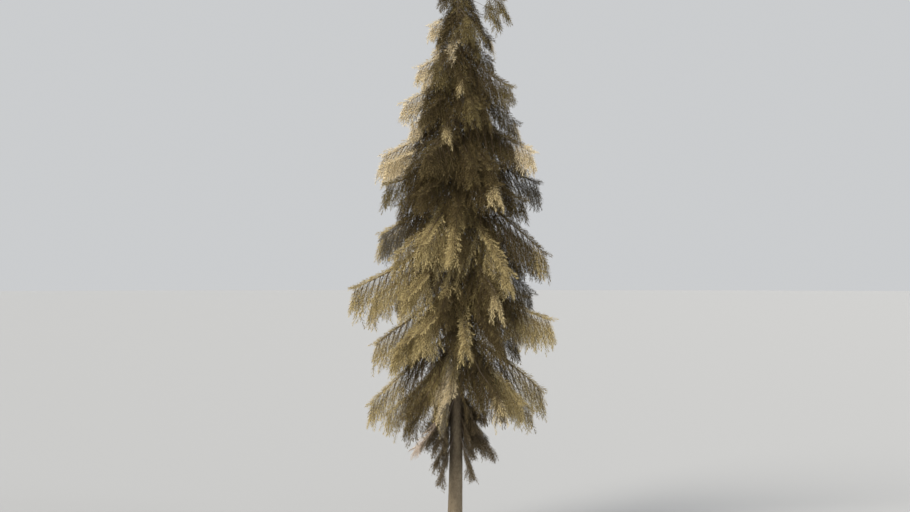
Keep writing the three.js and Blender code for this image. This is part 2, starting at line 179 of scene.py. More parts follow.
@dataclass(frozen=True)
class Dress:
    """The tones of one bough's sprays, which paint sunlight and shade into its needles by how it faces the
    light.
    """

    body: Tone  # Tone from the trunk outwards
    tip: Tone  # Tone of the outer sprays
    turn: float = 0.8  # Share of the leafy stretch where the tip's tone takes over
    left: Tone | None = None  # Painted sunlight from the left: tone of the inner sprays that end left of the trunk, where it differs
    crest: Tone | None = None  # Painted light along the bough's top: tone of the sprays along its own back, likewise
    # Dresses of the two side boughs, anticlockwise from above first, or the body's tone all over.
    forks: tuple["Dress", "Dress"] | None = None

    def fork(self, index: int) -> "Dress":
        """Return the dress of one side bough."""
        return self.forks[index] if self.forks else Dress(self.body, self.body)

    def beside(self, first: "Dress", second: "Dress") -> "Dress":
        """Return this dress with those of the two side boughs."""
        return replace(self, forks=(first, second))

    def deal(self, place: Array, left: Array, rng: np.random.Generator) -> Array:
        """Deal tones out to the sprays of a bough, as painted sunlight and painted shade.

        Args:
            place: Places of the sprays on the leafy stretch, from 0 to 1.
            left: Whether each ends left of the trunk, on the side of the painted sunlight.
            rng: For the spread of the turn and for the few that stray.

        Returns:
            Rank of each spray's tone.
        """
        outer = place + rng.normal(0, TURN_SPREAD, len(place)) > self.turn
        inner = np.where(left, (self.left or self.body).rank, self.body.rank)
        return Tone.let_stray(np.where(outer, self.tip.rank, inner), rng)

    def deal_crest(self, shares: Array) -> Array:
        """Return the ranks of the tones along the bough's own back, with its painted light, at shares of its
        reach.
        """
        inner = self.crest or self.left or self.body
        return np.where(shares > self.turn + CREST_DELAY, self.tip.rank, inner.rank)


# Dresses of painted light: SHADE and dark sprays are painted shade, LIT and the khaki, straw and cream ends
# are painted sunlight from the upper left, and grey sprays are painted shade on the duller boughs at the
# back.
SHADE = Dress(Tone.DARK, Tone.DARK)
SHADE_OLIVE = Dress(Tone.DARK, Tone.OLIVE, 0.7)
SHADE_DULL = Dress(Tone.DARK, Tone.GREY, 0.6)
SHADE_LIT = Dress(Tone.DARK, Tone.KHAKI, 0.5)
SHADE_CREAM = Dress(Tone.DARK, Tone.CREAM, 0.5)
SHADE_HALF_LIT = Dress(Tone.DARK, Tone.DARK, 0.6, left=Tone.KHAKI)
HALF_LIT = Dress(Tone.DARK, Tone.DARK, 1.2, left=Tone.KHAKI)
HALF_CREAM = Dress(Tone.DARK, Tone.GREY, 0.7, left=Tone.CREAM)
LIT_SHADE = Dress(Tone.KHAKI, Tone.DARK, 0.5)
LIT_END = Dress(Tone.DARK, Tone.KHAKI, 0.85)
LIT_STREAK = Dress(Tone.DARK, Tone.KHAKI, 0.88, crest=Tone.KHAKI)
CREAM_END = Dress(Tone.DARK, Tone.CREAM, 0.75)
CREAM_STREAK = Dress(Tone.DARK, Tone.CREAM, 0.8, crest=Tone.CREAM)
STRAW_END = Dress(Tone.DARK, Tone.STRAW, 0.9)
HALF_LIT_STRAW_END = Dress(Tone.DARK, Tone.STRAW, 0.9, left=Tone.KHAKI, crest=Tone.DARK)
DULL = Dress(Tone.GREY, Tone.GREY)
OLIVE = Dress(Tone.OLIVE, Tone.OLIVE)
LIT = Dress(Tone.KHAKI, Tone.KHAKI)


@dataclass(frozen=True)
class Whorl:
    """The boughs that leave the trunk at one height."""

    height: float  # Of the whorl on the trunk
    left: Pair  # Reach and drop of the left tip across the view
    right: Pair  # Reach and drop of the right tip, likewise
    # Tones, with their painted sunlight and shade, of the right, back, left and front boughs. With three
    # there is no front one.
    dress: tuple[Dress, ...]
    bare_right: float = 0.0  # Share of the right bough's reach, from the trunk, that carries no twigs


WHORLS = (
    Whorl(11.23, (0.33, 0.25), (0.925, 0.41), (OLIVE, SHADE, SHADE), bare_right=0.62),
    Whorl(10.78, (0.54, 0.38), (0.68, 0.70), (
        STRAW_END,
        SHADE,
        SHADE_CREAM.beside(SHADE, SHADE_CREAM),
        SHADE_OLIVE.beside(SHADE_OLIVE, CREAM_STREAK),
    )),
    Whorl(10.08, (0.81, 0.46), (1.09, 0.93), (
        SHADE_OLIVE,
        SHADE,
        SHADE_CREAM.beside(SHADE_CREAM, SHADE),
        SHADE_OLIVE.beside(STRAW_END, SHADE),
    )),
    Whorl(9.38, (1.10, 0.56), (1.23, 0.97), (
        STRAW_END.beside(SHADE_OLIVE, SHADE_OLIVE),
        SHADE,
        SHADE_CREAM.beside(SHADE, SHADE_CREAM),
        SHADE_OLIVE.beside(SHADE, STRAW_END),
    )),
    Whorl(8.60, (1.58, 0.82), (1.51, 0.84), (
        CREAM_END,
        SHADE_OLIVE,
        SHADE_CREAM.beside(SHADE_CREAM, SHADE),
        SHADE,
    )),
    Whorl(7.90, (1.46, 0.74), (1.69, 0.76), (
        SHADE_DULL.beside(DULL, SHADE),
        SHADE,
        SHADE_OLIVE,
        STRAW_END,
    )),
    Whorl(7.15, (1.64, 1.05), (1.80, 1.45), (
        LIT_END.beside(SHADE, LIT),
        SHADE_DULL,
        SHADE_LIT.beside(SHADE_DULL, DULL),
        HALF_LIT.beside(HALF_LIT, SHADE_LIT),
    )),
    Whorl(6.45, (2.15, 1.30), (1.54, 1.48), (
        SHADE_DULL.beside(SHADE, SHADE_LIT),
        DULL.beside(DULL, SHADE),
        LIT.beside(SHADE_LIT, SHADE_LIT),
        HALF_LIT_STRAW_END.beside(SHADE, SHADE_HALF_LIT),
    )),
    Whorl(5.40, (1.74, 1.40), (1.89, 0.95), (
        SHADE_LIT.beside(SHADE_LIT, SHADE),
        SHADE_LIT,
        LIT.beside(SHADE_LIT, SHADE),
        SHADE_LIT.beside(LIT_STREAK, SHADE_LIT),
    )),
    Whorl(4.35, (1.80, 1.56), (1.80, 1.33), (
        SHADE_LIT.beside(SHADE, SHADE_LIT),
        SHADE_LIT,
        SHADE_LIT.beside(LIT_SHADE, LIT),
        HALF_LIT_STRAW_END.beside(SHADE_LIT, HALF_CREAM),
    )),
)


@dataclass(frozen=True)
class Tier:
    """A stretch of the crown whose foliage is made together."""

    name: str
    whorls: range  # Their numbers from the top
    slot: Slot  # The record's slot of its needles

    @property
    def has_leader(self) -> bool:
        """Return whether the leader rises from this tier."""
        return 0 in self.whorls


TIERS = (
    Tier("top", range(0, 3), Slot.NEEDLES_UPPER),
    Tier("upper", range(3, 6), Slot.NEEDLES_UPPER),
    Tier("middle", range(6, 8), Slot.NEEDLES_LOWER),
    Tier("lower", range(8, 10), Slot.NEEDLES_LOWER),
)


class Shade:
    """A shader socket that takes part in Python arithmetic: each operation adds a Math node."""

    def __init__(self, graph: "Graph", socket: bpy.types.NodeSocket) -> None:
        """Wrap a socket of a graph."""
        self.graph = graph
        self.socket = socket

    def math(self, operation: str, first: Any, second: Any) -> "Shade":
        """Return the result of a Math node on two values or sockets."""
        return self.graph.node("ShaderNodeMath", {"operation": operation}, {0: first, 1: second})

    def __add__(self, other: Any) -> "Shade":
        """Return self + other."""
        return self.math("ADD", self, other)

    def __radd__(self, other: Any) -> "Shade":
        """Return other + self."""
        return self.math("ADD", other, self)

    def __sub__(self, other: Any) -> "Shade":
        """Return self - other."""
        return self.math("SUBTRACT", self, other)

    def __rsub__(self, other: Any) -> "Shade":
        """Return other - self."""
        return self.math("SUBTRACT", other, self)

    def __mul__(self, other: Any) -> "Shade":
        """Return self * other."""
        return self.math("MULTIPLY", self, other)

    def __rmul__(self, other: Any) -> "Shade":
        """Return other * self."""
        return self.math("MULTIPLY", other, self)


class Graph:
    """The node tree of one material."""

    def __init__(self, tree: bpy.types.NodeTree) -> None:
        """Take over a node tree and empty it."""
        self.tree = tree
        tree.nodes.clear()

    def node(self, kind: str, settings: dict[str, Any], inputs: dict[Any, Any], output: Any = 0) -> Shade:
        """Add a node.

        Args:
            kind: The node's type.
            settings: Its own settings, set first.
            inputs: Values or sockets by the name or number of the input.
            output: Name or number of the output to return.

        Returns:
            The output, ready for arithmetic, or the input of a node that ends the tree.
        """
        node = self.tree.nodes.new(kind)
        for name, value in settings.items():
            setattr(node, name, value)
        for key, value in inputs.items():
            if isinstance(value, Shade):
                self.tree.links.new(value.socket, node.inputs[key])
            else:
                node.inputs[key].default_value = value
        sockets = node.outputs if len(node.outputs) else node.inputs
        return Shade(self, sockets[output])

    def mix(self, factor: Any, first: Any, second: Any) -> Shade:
        """Return a colour between two colours."""
        return self.node("ShaderNodeMix", {"data_type": "RGBA"}, {0: factor, 6: first, 7: second}, 2)

    def band(self, value: Shade, edges: Pair) -> Shade:
        """Return 0 under the first edge and 1 over the second, smooth between."""
        inputs = {"Value": value, "From Min": edges[0], "From Max": edges[1]}
        return self.node("ShaderNodeMapRange", {"interpolation_type": "SMOOTHSTEP"}, inputs)

    def noise(self, place: Shade, scale: float, detail: float, output: str = "Fac") -> Shade:
        """Return cloudy noise around 0.5, as a value or with the output "Color" along each axis."""
        inputs = {"Vector": place, "Scale": scale, "Detail": detail, "Roughness": 0.6}
        return self.node("ShaderNodeTexNoise", {}, inputs, output)

    def patches(self, place: Shade, scale: float, detail: float, edges: Pair) -> Shade:
        """Return patches of noise, 0 under the first edge of its values and 1 over the second."""
        return self.band(self.noise(place, scale, detail), edges)

    def place(self, stretch: Triple) -> Shade:
        """Return Object coordinates, scaled along each axis."""
        here = self.node("ShaderNodeTexCoord", {}, {}, "Object")
        return self.node("ShaderNodeMapping", {}, {"Vector": here, "Scale": stretch})

    def surface(self, **inputs: Any) -> None:
        """End the tree in a Principled surface.

        Args:
            inputs: Values or sockets by the input's name, with underscores for spaces.
        """
        named = {key.replace("_", " "): value for key, value in inputs.items()}
        principled = self.node("ShaderNodeBsdfPrincipled", {}, named)
        self.node("ShaderNodeOutputMaterial", {}, {"Surface": principled})


def new_graph(name: str) -> tuple[bpy.types.Material, Graph]:
    """Start a material.

    Args:
        name: Of the material.

    Returns:
        The material and its empty graph.
    """
    material = bpy.data.materials.new(name)
    material.use_nodes = True
    return material, Graph(material.node_tree)


@dataclass(frozen=True)
class PlainFinish:
    """A surface of one plain colour: the thin bark of twigs, wax or the floor."""

    name: str
    colour: Colour
    roughness: float = 0.85  # 0 for a mirror and 1 for chalk
    specular: float = 0.2  # Strength of the gloss

    def material(self) -> bpy.types.Material:
        """Make the material.

        Returns:
            The finish as a material with a plain base colour.
        """
        material, graph = new_graph(self.name)
        graph.surface(Base_Color=self.colour, Roughness=self.roughness, Specular_IOR_Level=self.specular)
        return material


@dataclass(frozen=True)
class BarkFinish:
    """Scaly bark: plates with dark furrows between them, weathered patches and a pale bloom.

    Each band holds the values between which one thing gives way to another.
    """

    name: str
    plate: Colour  # Colour of the plates
    weathered: Colour  # Colour of the patches that have lost their outer scales
    furrow: Colour  # Colour between the plates
    bloom: Colour  # Colour of the lichen film
    plate_size: float  # Width of a plate
    stretch: float = 2.2  # Height of a plate against its width
    wander: float = 1.5  # How far the plates' edges wander, in plates
    fray: Pair = (0.5, 0.15)  # What the grain and a plate's own level add to the distance from its edge
    plate_band: Pair = (0.22, 0.42)  # Of that distance, from furrow to plate
    flake_band: Pair = (0.5, 0.6)  # Of the noise that makes flakes
    patch_band: Pair = (0.44, 0.62)  # Of the noise that makes weathered patches
    bloom_band: Pair = (0.63, 0.8)  # Of the noise that makes the lichen film
    speck_band: Pair = (0.4, 0.7)  # Of the grain that makes dark specks
    # Share of the weathered colour from patches, from a plate's own level and from flakes.
    weathering: Triple = (0.3, 0.45, 0.25)
    specks: float = 0.45  # Strength of the dark specks
    film: float = 0.7  # Strength of the lichen film
    # Of plates, of their own levels, of flakes and of the grain.
    heights: tuple[float, ...] = (0.4, 0.6, 0.25, 0.35)
    bump: Pair = (0.7, 0.12)  # Strength of the relief, and its height in plates
    roughness: Pair = (0.98, 0.12)  # In the furrows, and by how much the plates are smoother
    specular: float = 0.2  # Strength of the gloss

    def material(self) -> bpy.types.Material:
        """Lay the pattern on Object coordinates.

        Returns:
            The finish as a material.
        """
        material, graph = new_graph(self.name)
        place = graph.place((1, 1, 1 / self.stretch))
        wander = graph.noise(place, 1.1 / self.plate_size, 4, "Color")
        shift = (self.plate_size * self.wander,) * 3
        warped = graph.node(
            "ShaderNodeVectorMath", {"operation": "MULTIPLY_ADD"}, {0: wander, 1: shift, 2: place}
        )
        cells = {"Vector": warped, "Scale": 1 / self.plate_size}
        edge = graph.node("ShaderNodeTexVoronoi", {"feature": "DISTANCE_TO_EDGE"}, cells)
        # A plate's own level is the grey of its cell's colour, which the Math nodes take.
        level = graph.node("ShaderNodeTexVoronoi", {}, cells, "Color")
        grain = graph.noise(place, 5 / self.plate_size, 4)
        flakes = graph.patches(place, 1.7 / self.plate_size, 5, self.flake_band)
        cover = graph.band(edge + grain * self.fray[0] + level * self.fray[1], self.plate_band)
        patches = graph.patches(graph.place((1, 1, 0.5)), 3.0, 5, self.patch_band)
        film = graph.patches(graph.place((1, 1, 0.8)), 7.0, 6, self.bloom_band)
        by_patch, by_level, by_flake = self.weathering
        worn = patches * by_patch + level * by_level + flakes * by_flake
        wood = graph.mix(worn, self.plate, self.weathered)
        speckled = graph.mix(graph.band(grain, self.speck_band) * self.specks, wood, self.furrow)
        filmed = graph.mix(film * self.film, speckled, self.bloom)
        colour = graph.mix(cover, self.furrow, filmed)
        plates, levels, scales, grains = self.heights
        relief = cover * plates + level * levels + flakes * scales + grain * grains
        strength, height = self.bump
        bump = {"Height": relief, "Strength": strength, "Distance": self.plate_size * height}
        graph.surface(
            Base_Color=colour,
            Roughness=self.roughness[0] - cover * self.roughness[1],
            Specular_IOR_Level=self.specular,
            Normal=graph.node("ShaderNodeBump", {}, bump),
        )
        return material


def needle_wax(tone: Tone) -> PlainFinish:
    """Return the waxy finish of needles in one tone."""
    return PlainFinish(f"needles_{tone.name.lower()}", (*tone.value, 1), roughness=0.62, specular=0.25)


TRUNK_BARK = BarkFinish(
    "trunk_bark",
    plate=(0.165, 0.130, 0.086, 1),
    weathered=(0.285, 0.234, 0.158, 1),
    furrow=(0.088, 0.067, 0.046, 1),
    bloom=(0.310, 0.290, 0.215, 1),
    plate_size=0.03,
    stretch=1.8,
)
BOUGH_BARK = BarkFinish(
    "bough_bark",
    plate=(0.150, 0.112, 0.080, 1),
    weathered=(0.210, 0.165, 0.120, 1),
    furrow=(0.050, 0.037, 0.028, 1),
    bloom=(0.280, 0.270, 0.220, 1),
    plate_size=0.022,
)
DRY_WOOD = BarkFinish(
    "dry_wood",
    plate=(0.190, 0.150, 0.118, 1),
    weathered=(0.270, 0.225, 0.185, 1),
    furrow=(0.070, 0.054, 0.042, 1),
    bloom=(0.330, 0.310, 0.280, 1),
    plate_size=0.018,
    stretch=4.0,
)
# The pale limb's wood: partly bleached dead wood and partly painted sunlight, far paler than the dry wood in
# the same light.
SUNLIT_BLEACHED_WOOD = BarkFinish(
    "bleached_wood",
    plate=(0.660, 0.555, 0.460, 1),
    weathered=(0.740, 0.640, 0.540, 1),
    furrow=(0.340, 0.270, 0.215, 1),
    bloom=(0.760, 0.690, 0.610, 1),
    plate_size=0.018,
    stretch=5.0,
)
TWIG_BARK = PlainFinish("twig_bark", (0.090, 0.062, 0.040, 1))
DRY_TWIG = PlainFinish("dry_twig", (0.145, 0.111, 0.072, 1))
# The pale limb's twigs: partly bleached and partly painted sunlight, likewise.
SUNLIT_BLEACHED_TWIG = PlainFinish("bleached_twig", (0.700, 0.590, 0.490, 1))
PALE_FLOOR = PlainFinish("pale_floor", (0.41, 0.415, 0.42, 1), roughness=0.9, specular=0.1)


class Workbench:
    """Moves that the pieces share: limbs modelled by hand, relief, and meshes from arrays."""

    @staticmethod
    def select(*pieces: Piece) -> None:
        """Select these pieces and no others.

        Args:
            pieces: The pieces, of which the first becomes active, or none.
        """
        bpy.ops.object.select_all(action="DESELECT")
        for piece in pieces:
            piece.select_set(True)
        if pieces:
            bpy.context.view_layer.objects.active = pieces[0]

    @staticmethod
    def limb(name: str, path: Array, radii: Array, sides: int) -> Piece:
        """Model a round limb: a ring that is extruded along a path and scaled at each step.

        Args:
            name: Of the object.
            path: Places of the limb's middle, n x 3.
            radii: Of the limb at those places.
            sides: Of the ring.

        Returns:
            The limb, at the origin.
        """
        Workbench.select()
        heading = Vector(path[1] - path[0]).to_track_quat("Z", "Y").to_euler()
        bpy.ops.mesh.primitive_circle_add(
            vertices=sides,
            radius=radii[0],
            fill_type="NGON",
            location=tuple(path[0]),
            rotation=tuple(heading),
        )
        limb = bpy.context.object
        limb.name = name
        bpy.ops.object.mode_set(mode="EDIT")
        bpy.ops.mesh.select_all(action="SELECT")
        for i in range(1, len(path)):
            step = tuple(path[i] - path[i - 1])
            bpy.ops.mesh.extrude_region_move(TRANSFORM_OT_translate={"value": step})
            ratio = radii[i] / radii[i - 1]
            bpy.ops.transform.resize(value=(ratio,) * 3, center_override=tuple(path[i]))
        bpy.ops.mesh.select_all(action="SELECT")
        bpy.ops.mesh.normals_make_consistent(inside=False)
        bpy.ops.object.mode_set(mode="OBJECT")
        bpy.ops.object.transform_apply(location=True, rotation=True, scale=True)
        return limb

    @staticmethod
    def join(name: str, limbs: list[Piece]) -> Piece:
        """Join limbs into one object.

        Args:
            name: Of the object.
            limbs: At least one.

        Returns:
            The first limb, with all the others in it.
        """
        Workbench.select(*limbs)
        if len(limbs) > 1:
            bpy.ops.object.join()
        limbs[0].name = name
        return limbs[0]

    @staticmethod
    def apply(piece: Piece, kind: str, **settings: Any) -> None:
        """Add a modifier to a piece and apply it.

        Args:
            piece: The piece.
            kind: The modifier's type.
            settings: Of the modifier.
        """
        modifier = piece.modifiers.new(kind.lower(), kind)
        for key, value in settings.items():
            setattr(modifier, key, value)
        Workbench.select(piece)
        bpy.ops.object.modifier_apply(modifier=modifier.name)

    @staticmethod
    def relief(piece: Piece, plate_size: float, depth: float) -> None:
        """Raise bark plates out of a piece's mesh.

        Args:
            piece: The piece of wood.
            plate_size: Width of a plate.
            depth: From a furrow to the top of a plate.
        """
        plates = bpy.data.textures.new("plates", "VORONOI")
        plates.noise_scale = plate_size
        plates.weight_1 = -1.0
        plates.weight_2 = 1.0
        settings = {"texture": plates, "texture_coords": "LOCAL", "strength": depth, "mid_level": 0.5}
        Workbench.apply(piece, "DISPLACE", **settings)

    @staticmethod
    def places(piece: Piece) -> Array:
        """Read where a piece's vertices are.

        Args:
            piece: The piece, in object mode.

        Returns:
            Their places, n x 3.
        """
        flat = np.empty(3 * len(piece.data.vertices), dtype=np.float32)
        piece.data.vertices.foreach_get("co", flat)
        return flat.reshape(-1, 3)

    @staticmethod
    @contextmanager
    def picked(piece: Piece, chosen: Array) -> Iterator[None]:
        """Hold a piece in edit mode with only the chosen vertices selected.

        Args:
            piece: The active piece, in object mode.
            chosen: Whether each vertex is selected.

        Yields:
            Once, for the operators that act on them.
        """
        for parts in (piece.data.edges, piece.data.polygons):
            parts.foreach_set("select", np.zeros(len(parts), dtype=bool))
        piece.data.vertices.foreach_set("select", chosen)
        bpy.ops.object.mode_set(mode="EDIT")
        bpy.ops.mesh.select_mode(type="VERT")
        yield
        bpy.ops.object.mode_set(mode="OBJECT")

    @staticmethod
    def smooth(piece: Piece, degrees: float) -> None:
        """Shade a piece smooth where its faces meet at less than an angle."""
        Workbench.select(piece)
        bpy.ops.object.shade_smooth_by_angle(angle=math.radians(degrees))

    @staticmethod
    def mesh(name: str, places: Array, triangles: Array) -> Piece:
        """Make an object from arrays.

        Args:
            name: Of the object.
            places: Of the vertices, n x 3.
            triangles: Vertex numbers of the faces, m x 3.

        Returns:
            The object, linked to the scene.
        """
        data = bpy.data.meshes.new(name)
        data.vertices.add(len(places))
        data.vertices.foreach_set("co", places.astype(np.float32).ravel())
        data.loops.add(triangles.size)
        data.loops.foreach_set("vertex_index", triangles.astype(np.int32).ravel())
        data.polygons.add(len(triangles))
        data.polygons.foreach_set("loop_start", np.arange(0, triangles.size, 3, dtype=np.int32))
        data.update(calc_edges=True)
        made = bpy.data.objects.new(name, data)
        bpy.context.scene.collection.objects.link(made)
        return made

    @staticmethod
    def publish(piece: Piece, material: bpy.types.Material, slot: Slot, nodes: list[str]) -> None:
        """Dress a finished piece and tie it to the frame.

        Args:
            piece: The finished piece.
            material: Its only material.
            slot: Not used.
            nodes: The solids that it stands for.
        """
        piece.data.materials.clear()
        piece.data.materials.append(material)
        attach(piece, BODY)
        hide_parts(*nodes)
        LOG.info("%s: %d faces, stands for %d solids", piece.name, len(piece.data.polygons), len(nodes))


@dataclass
class Trunk:
    """The trunk from its flat cut at the ground to the leader."""

    tree_height: float = 12.2  # From the ground to the tip
    top: float = 11.48  # Height where the wood ends and the leader's shoot starts
    foot_radius: float = 0.158  # At the ground, without the root flare
    taper: float = 0.92  # Exponent of the taper, 1 for a straight cone
    sweep: float = 0.07  # How far the top stands to the right of the foot
    flare: float = 0.078  # Added to the radius at the ground
    flare_height: float = 0.23  # In which the flare falls to a third
    lobes: int = 5  # Number of root lobes
    lobe_depth: float = 0.34  # Share of the flare that comes and goes around the foot
    lobe_grip: float = 0.985  # Share of the foot's radius outside which a lobe is gripped and pulled
    bare_height: float = 3.0  # Up to which the trunk shows below the crown
    open_front: float = 0.16  # Half the width of the stretch before the bare trunk that no twig hides
    ring_steps: Pair = (0.032, 0.17)  # Height between rings on the bare trunk and in the crown
    sides: int = 50  # Of each ring
    plate_depth: float = 0.014  # Relief of the bark
    smooth_angle: float = 50  # In degrees, under which faces are shaded as one

    def radius(self, height: Any) -> Any:
        """Return the radius at a height or at several, without the flare."""
        return self.foot_radius * np.clip(1 - height / self.tree_height, 0, 1) ** self.taper

    def offset(self, height: Any) -> Any:
        """Return how far the trunk's middle stands to the right at a height."""
        return self.sweep * np.sin(math.pi / 2 * np.minimum(1, height / (self.tree_height / 2)))

    def middle(self, height: Any) -> Array:
        """Return the place of the trunk's middle at a height, or n x 3 places at n heights."""
        return np.stack((self.offset(height), np.zeros_like(height), height), axis=-1)

    def flared_radius(self, height: Array) -> Array:
        """Return the mean radius at heights with the flare."""
        mean_lobe = 1 - self.lobe_depth
        return self.radius(height) + self.flare * mean_lobe * 3 ** (-height / self.flare_height)

    def hidden_by(self, places: Array) -> Array:
        """Return whether each of n x 3 places would hide the bare trunk from the front."""
        beside = np.abs(places[:, 0] - self.offset(places[:, 2])) > self.open_front
        return ~beside & (places[:, 1] < 0) & (places[:, 2] < self.bare_height)

    def clear_of(self, places: Array, margin: float) -> Array:
        """Return whether each of n x 3 places stands off the wood by a margin, or above its end."""
        away = np.hypot(places[:, 0] - self.offset(places[:, 2]), places[:, 1])
        return (away > self.radius(places[:, 2]) + margin) | (places[:, 2] > self.top)

    def heights(self) -> Array:
        """Return the heights of the rings, from the ground to the end of the wood."""
        bare = np.arange(0, self.bare_height, self.ring_steps[0])
        return np.concatenate((bare, np.arange(self.bare_height, self.top, self.ring_steps[1]), (self.top,)))

    def spread_roots(self, trunk: Piece) -> None:
        """Pull the root lobes out of the foot and push the hollows between them in.

        Args:
            trunk: The trunk, in object mode.
        """
        foot = self.flared_radius(np.zeros(1))[0]
        for i in range(2 * self.lobes):
            azimuth = math.pi * i / self.lobes
            outward = np.array((math.cos(azimuth), math.sin(azimuth), 0))
            push = self.flare * self.lobe_depth * (1 if i % 2 == 0 else -1)
            places = Workbench.places(trunk)
            on_ground = np.abs(places[:, 2]) < self.ring_steps[0] / 2
            with Workbench.picked(trunk, on_ground & (places @ outward > self.lobe_grip * foot)):
                bpy.ops.transform.translate(
                    value=tuple(outward * push),
                    use_proportional_edit=True,
                    proportional_edit_falloff="SMOOTH",
                    proportional_size=self.flare_height,
                )

    def refine(self, trunk: Piece) -> None:
        """Divide the faces of the bare stretch once more, where the bark shows most."""
        with Workbench.picked(trunk, Workbench.places(trunk)[:, 2] < self.bare_height):
            bpy.ops.mesh.subdivide(number_cuts=1)

    def flatten_foot(self, trunk: Piece) -> None:
        """Level the lowest ring into the flat cut on the ground."""
        with Workbench.picked(trunk, Workbench.places(trunk)[:, 2] < self.ring_steps[0] / 3):
            bpy.ops.transform.resize(value=(1, 1, 0), center_override=(0, 0, 0))

    def build(self) -> None:
        """Model the trunk and give it its bark."""
        heights = self.heights()
        trunk = Workbench.limb("trunk_bark", self.middle(heights), self.flared_radius(heights), self.sides)
        self.spread_roots(trunk)
        self.refine(trunk)
        Workbench.relief(trunk, TRUNK_BARK.plate_size, self.plate_depth)
        self.flatten_foot(trunk)
        Workbench.smooth(trunk, self.smooth_angle)
        Workbench.publish(trunk, TRUNK_BARK.material(), Slot.BARK, ["trunk"])


@dataclass
class Bough:
    """One bough: its place on the trunk and the line that it follows."""

    name: str  # Whorl number and side, as in the solids
    seed: int  # Of its variation
    azimuth: float  # Its direction around the trunk, from +X
    base: Array  # Where its line starts, on the trunk's middle
    reach: float  # From the trunk's middle to the tip
    drop: float  # From the start of the line to the tip
    sag: float  # Under 0 it arches over and hangs, over 0 it sweeps out level at the tip
    bend: float = 0.0  # Share of the reach that the tip swings sideways
    dress: Dress = SHADE  # Tones of its sprays, with their painted sunlight and shade
    whorl: int = 0  # Number of its whorl from the top
    age: float = 1.0  # 0 in the youngest whorl and 1 in the oldest
    limbed: bool = False  # Whether its inner stretch is a bare limb
    girth: float = 1.0  # Of its wood against a main bough of its reach
    bare: float = 0.0  # Share of the reach from the trunk without twigs
    # Radius of a main bough at the trunk, and what each metre of reach adds.
    thickness: Pair = (0.005, 0.0155)
    tip_girth: float = 0.16  # Radius at the tip against that at the trunk

    def points(self, shares: Array) -> Array:
        """Follow the line.

        Args:
            shares: Of the reach.

        Returns:
            Places on the line at those shares, n x 3.
        """
        out = self.reach * shares
        side = self.bend * self.reach * shares**2
        rise = -self.drop * (shares + self.sag * shares * (1 - shares))
        cos, sin = math.cos(self.azimuth), math.sin(self.azimuth)
        return np.stack((out * cos - side * sin, out * sin + side * cos, rise), axis=1) + self.base

    def headings(self, shares: Array) -> Array:
        """Return the line's directions at shares of the reach, n x 3."""
        step = 0.002
        return unit(self.points(shares + step) - self.points(shares - step))

    def aims(self, shares: Array, angles: Array, falls: Array) -> Array:
        """Work out where twigs on the bough point.

        Args:
            shares: Of the reach, where the twigs stand.
            angles: From the bough's own direction, over 0 for the bough's left.
            falls: Downwards, against 1 outwards.

        Returns:
            Directions of length 1, n x 3.
        """
        along = self.headings(shares)
        level = swing(along, unit(np.cross(UP, along)), angles)
        return unit(level - np.outer(falls, UP))

    def radii(self, shares: Array) -> Array:
        """Return the wood's radius at shares of the reach."""
        at_trunk = self.girth * with_length(self.thickness, self.reach)
        return at_trunk * lerp(1, self.tip_girth, shares)


@dataclass(frozen=True)
class LimbHabit:
    """How the wood of boughs is made."""

    bark: BarkFinish
    rings: int  # Along each bough
    end: float  # Share of the reach where the wood ends
    crook: float  # How far rings stand off the bough's line, of the reach
    sides: int  # Of each ring
    plate_depth: float  # Relief of the bark
    girth: float = 1.0  # Against the bough's own
    smooth_angle: float = 60  # In degrees, under which faces are shaded as one

    def build(self, name: str, boughs: list[Bough], slot: Slot, nodes: list[str]) -> None:
        """Model the crooked wood of boughs as one piece.

        Args:
            name: Of the piece.
            boughs: The boughs.
            slot: The record's slot.
            nodes: The solids that the piece stands for.
        """
        shares = np.linspace(0, self.end, self.rings)
        limbs = []
        for bough in boughs:
            path = bough.points(shares)
            for i in range(1, self.rings - 1):
                kink = np.array([either_way(bough.seed * 7 + i, axis, 1) for axis in range(3)])
                path[i] += kink * self.crook * bough.reach
            limbs.append(Workbench.limb(name, path, self.girth * bough.radii(shares), self.sides))
        wood = Workbench.join(name, limbs)
        Workbench.apply(wood, "SUBSURF", levels=1, render_levels=1)
        Workbench.relief(wood, self.bark.plate_size, self.plate_depth)
        Workbench.smooth(wood, self.smooth_angle)
        Workbench.publish(wood, self.bark.material(), slot, nodes)


LIVE_LIMBS = LimbHabit(BOUGH_BARK, rings=10, end=0.96, crook=0.012, sides=6, plate_depth=0.004)
DRY_LIMBS = LimbHabit(DRY_WOOD, rings=14, end=1, crook=0.016, sides=8, plate_depth=0.003, girth=0.85)
# The pale limb: partly bleached wood and partly painted sunlight.
SUNLIT_BLEACHED_LIMBS = replace(DRY_LIMBS, bark=SUNLIT_BLEACHED_WOOD)


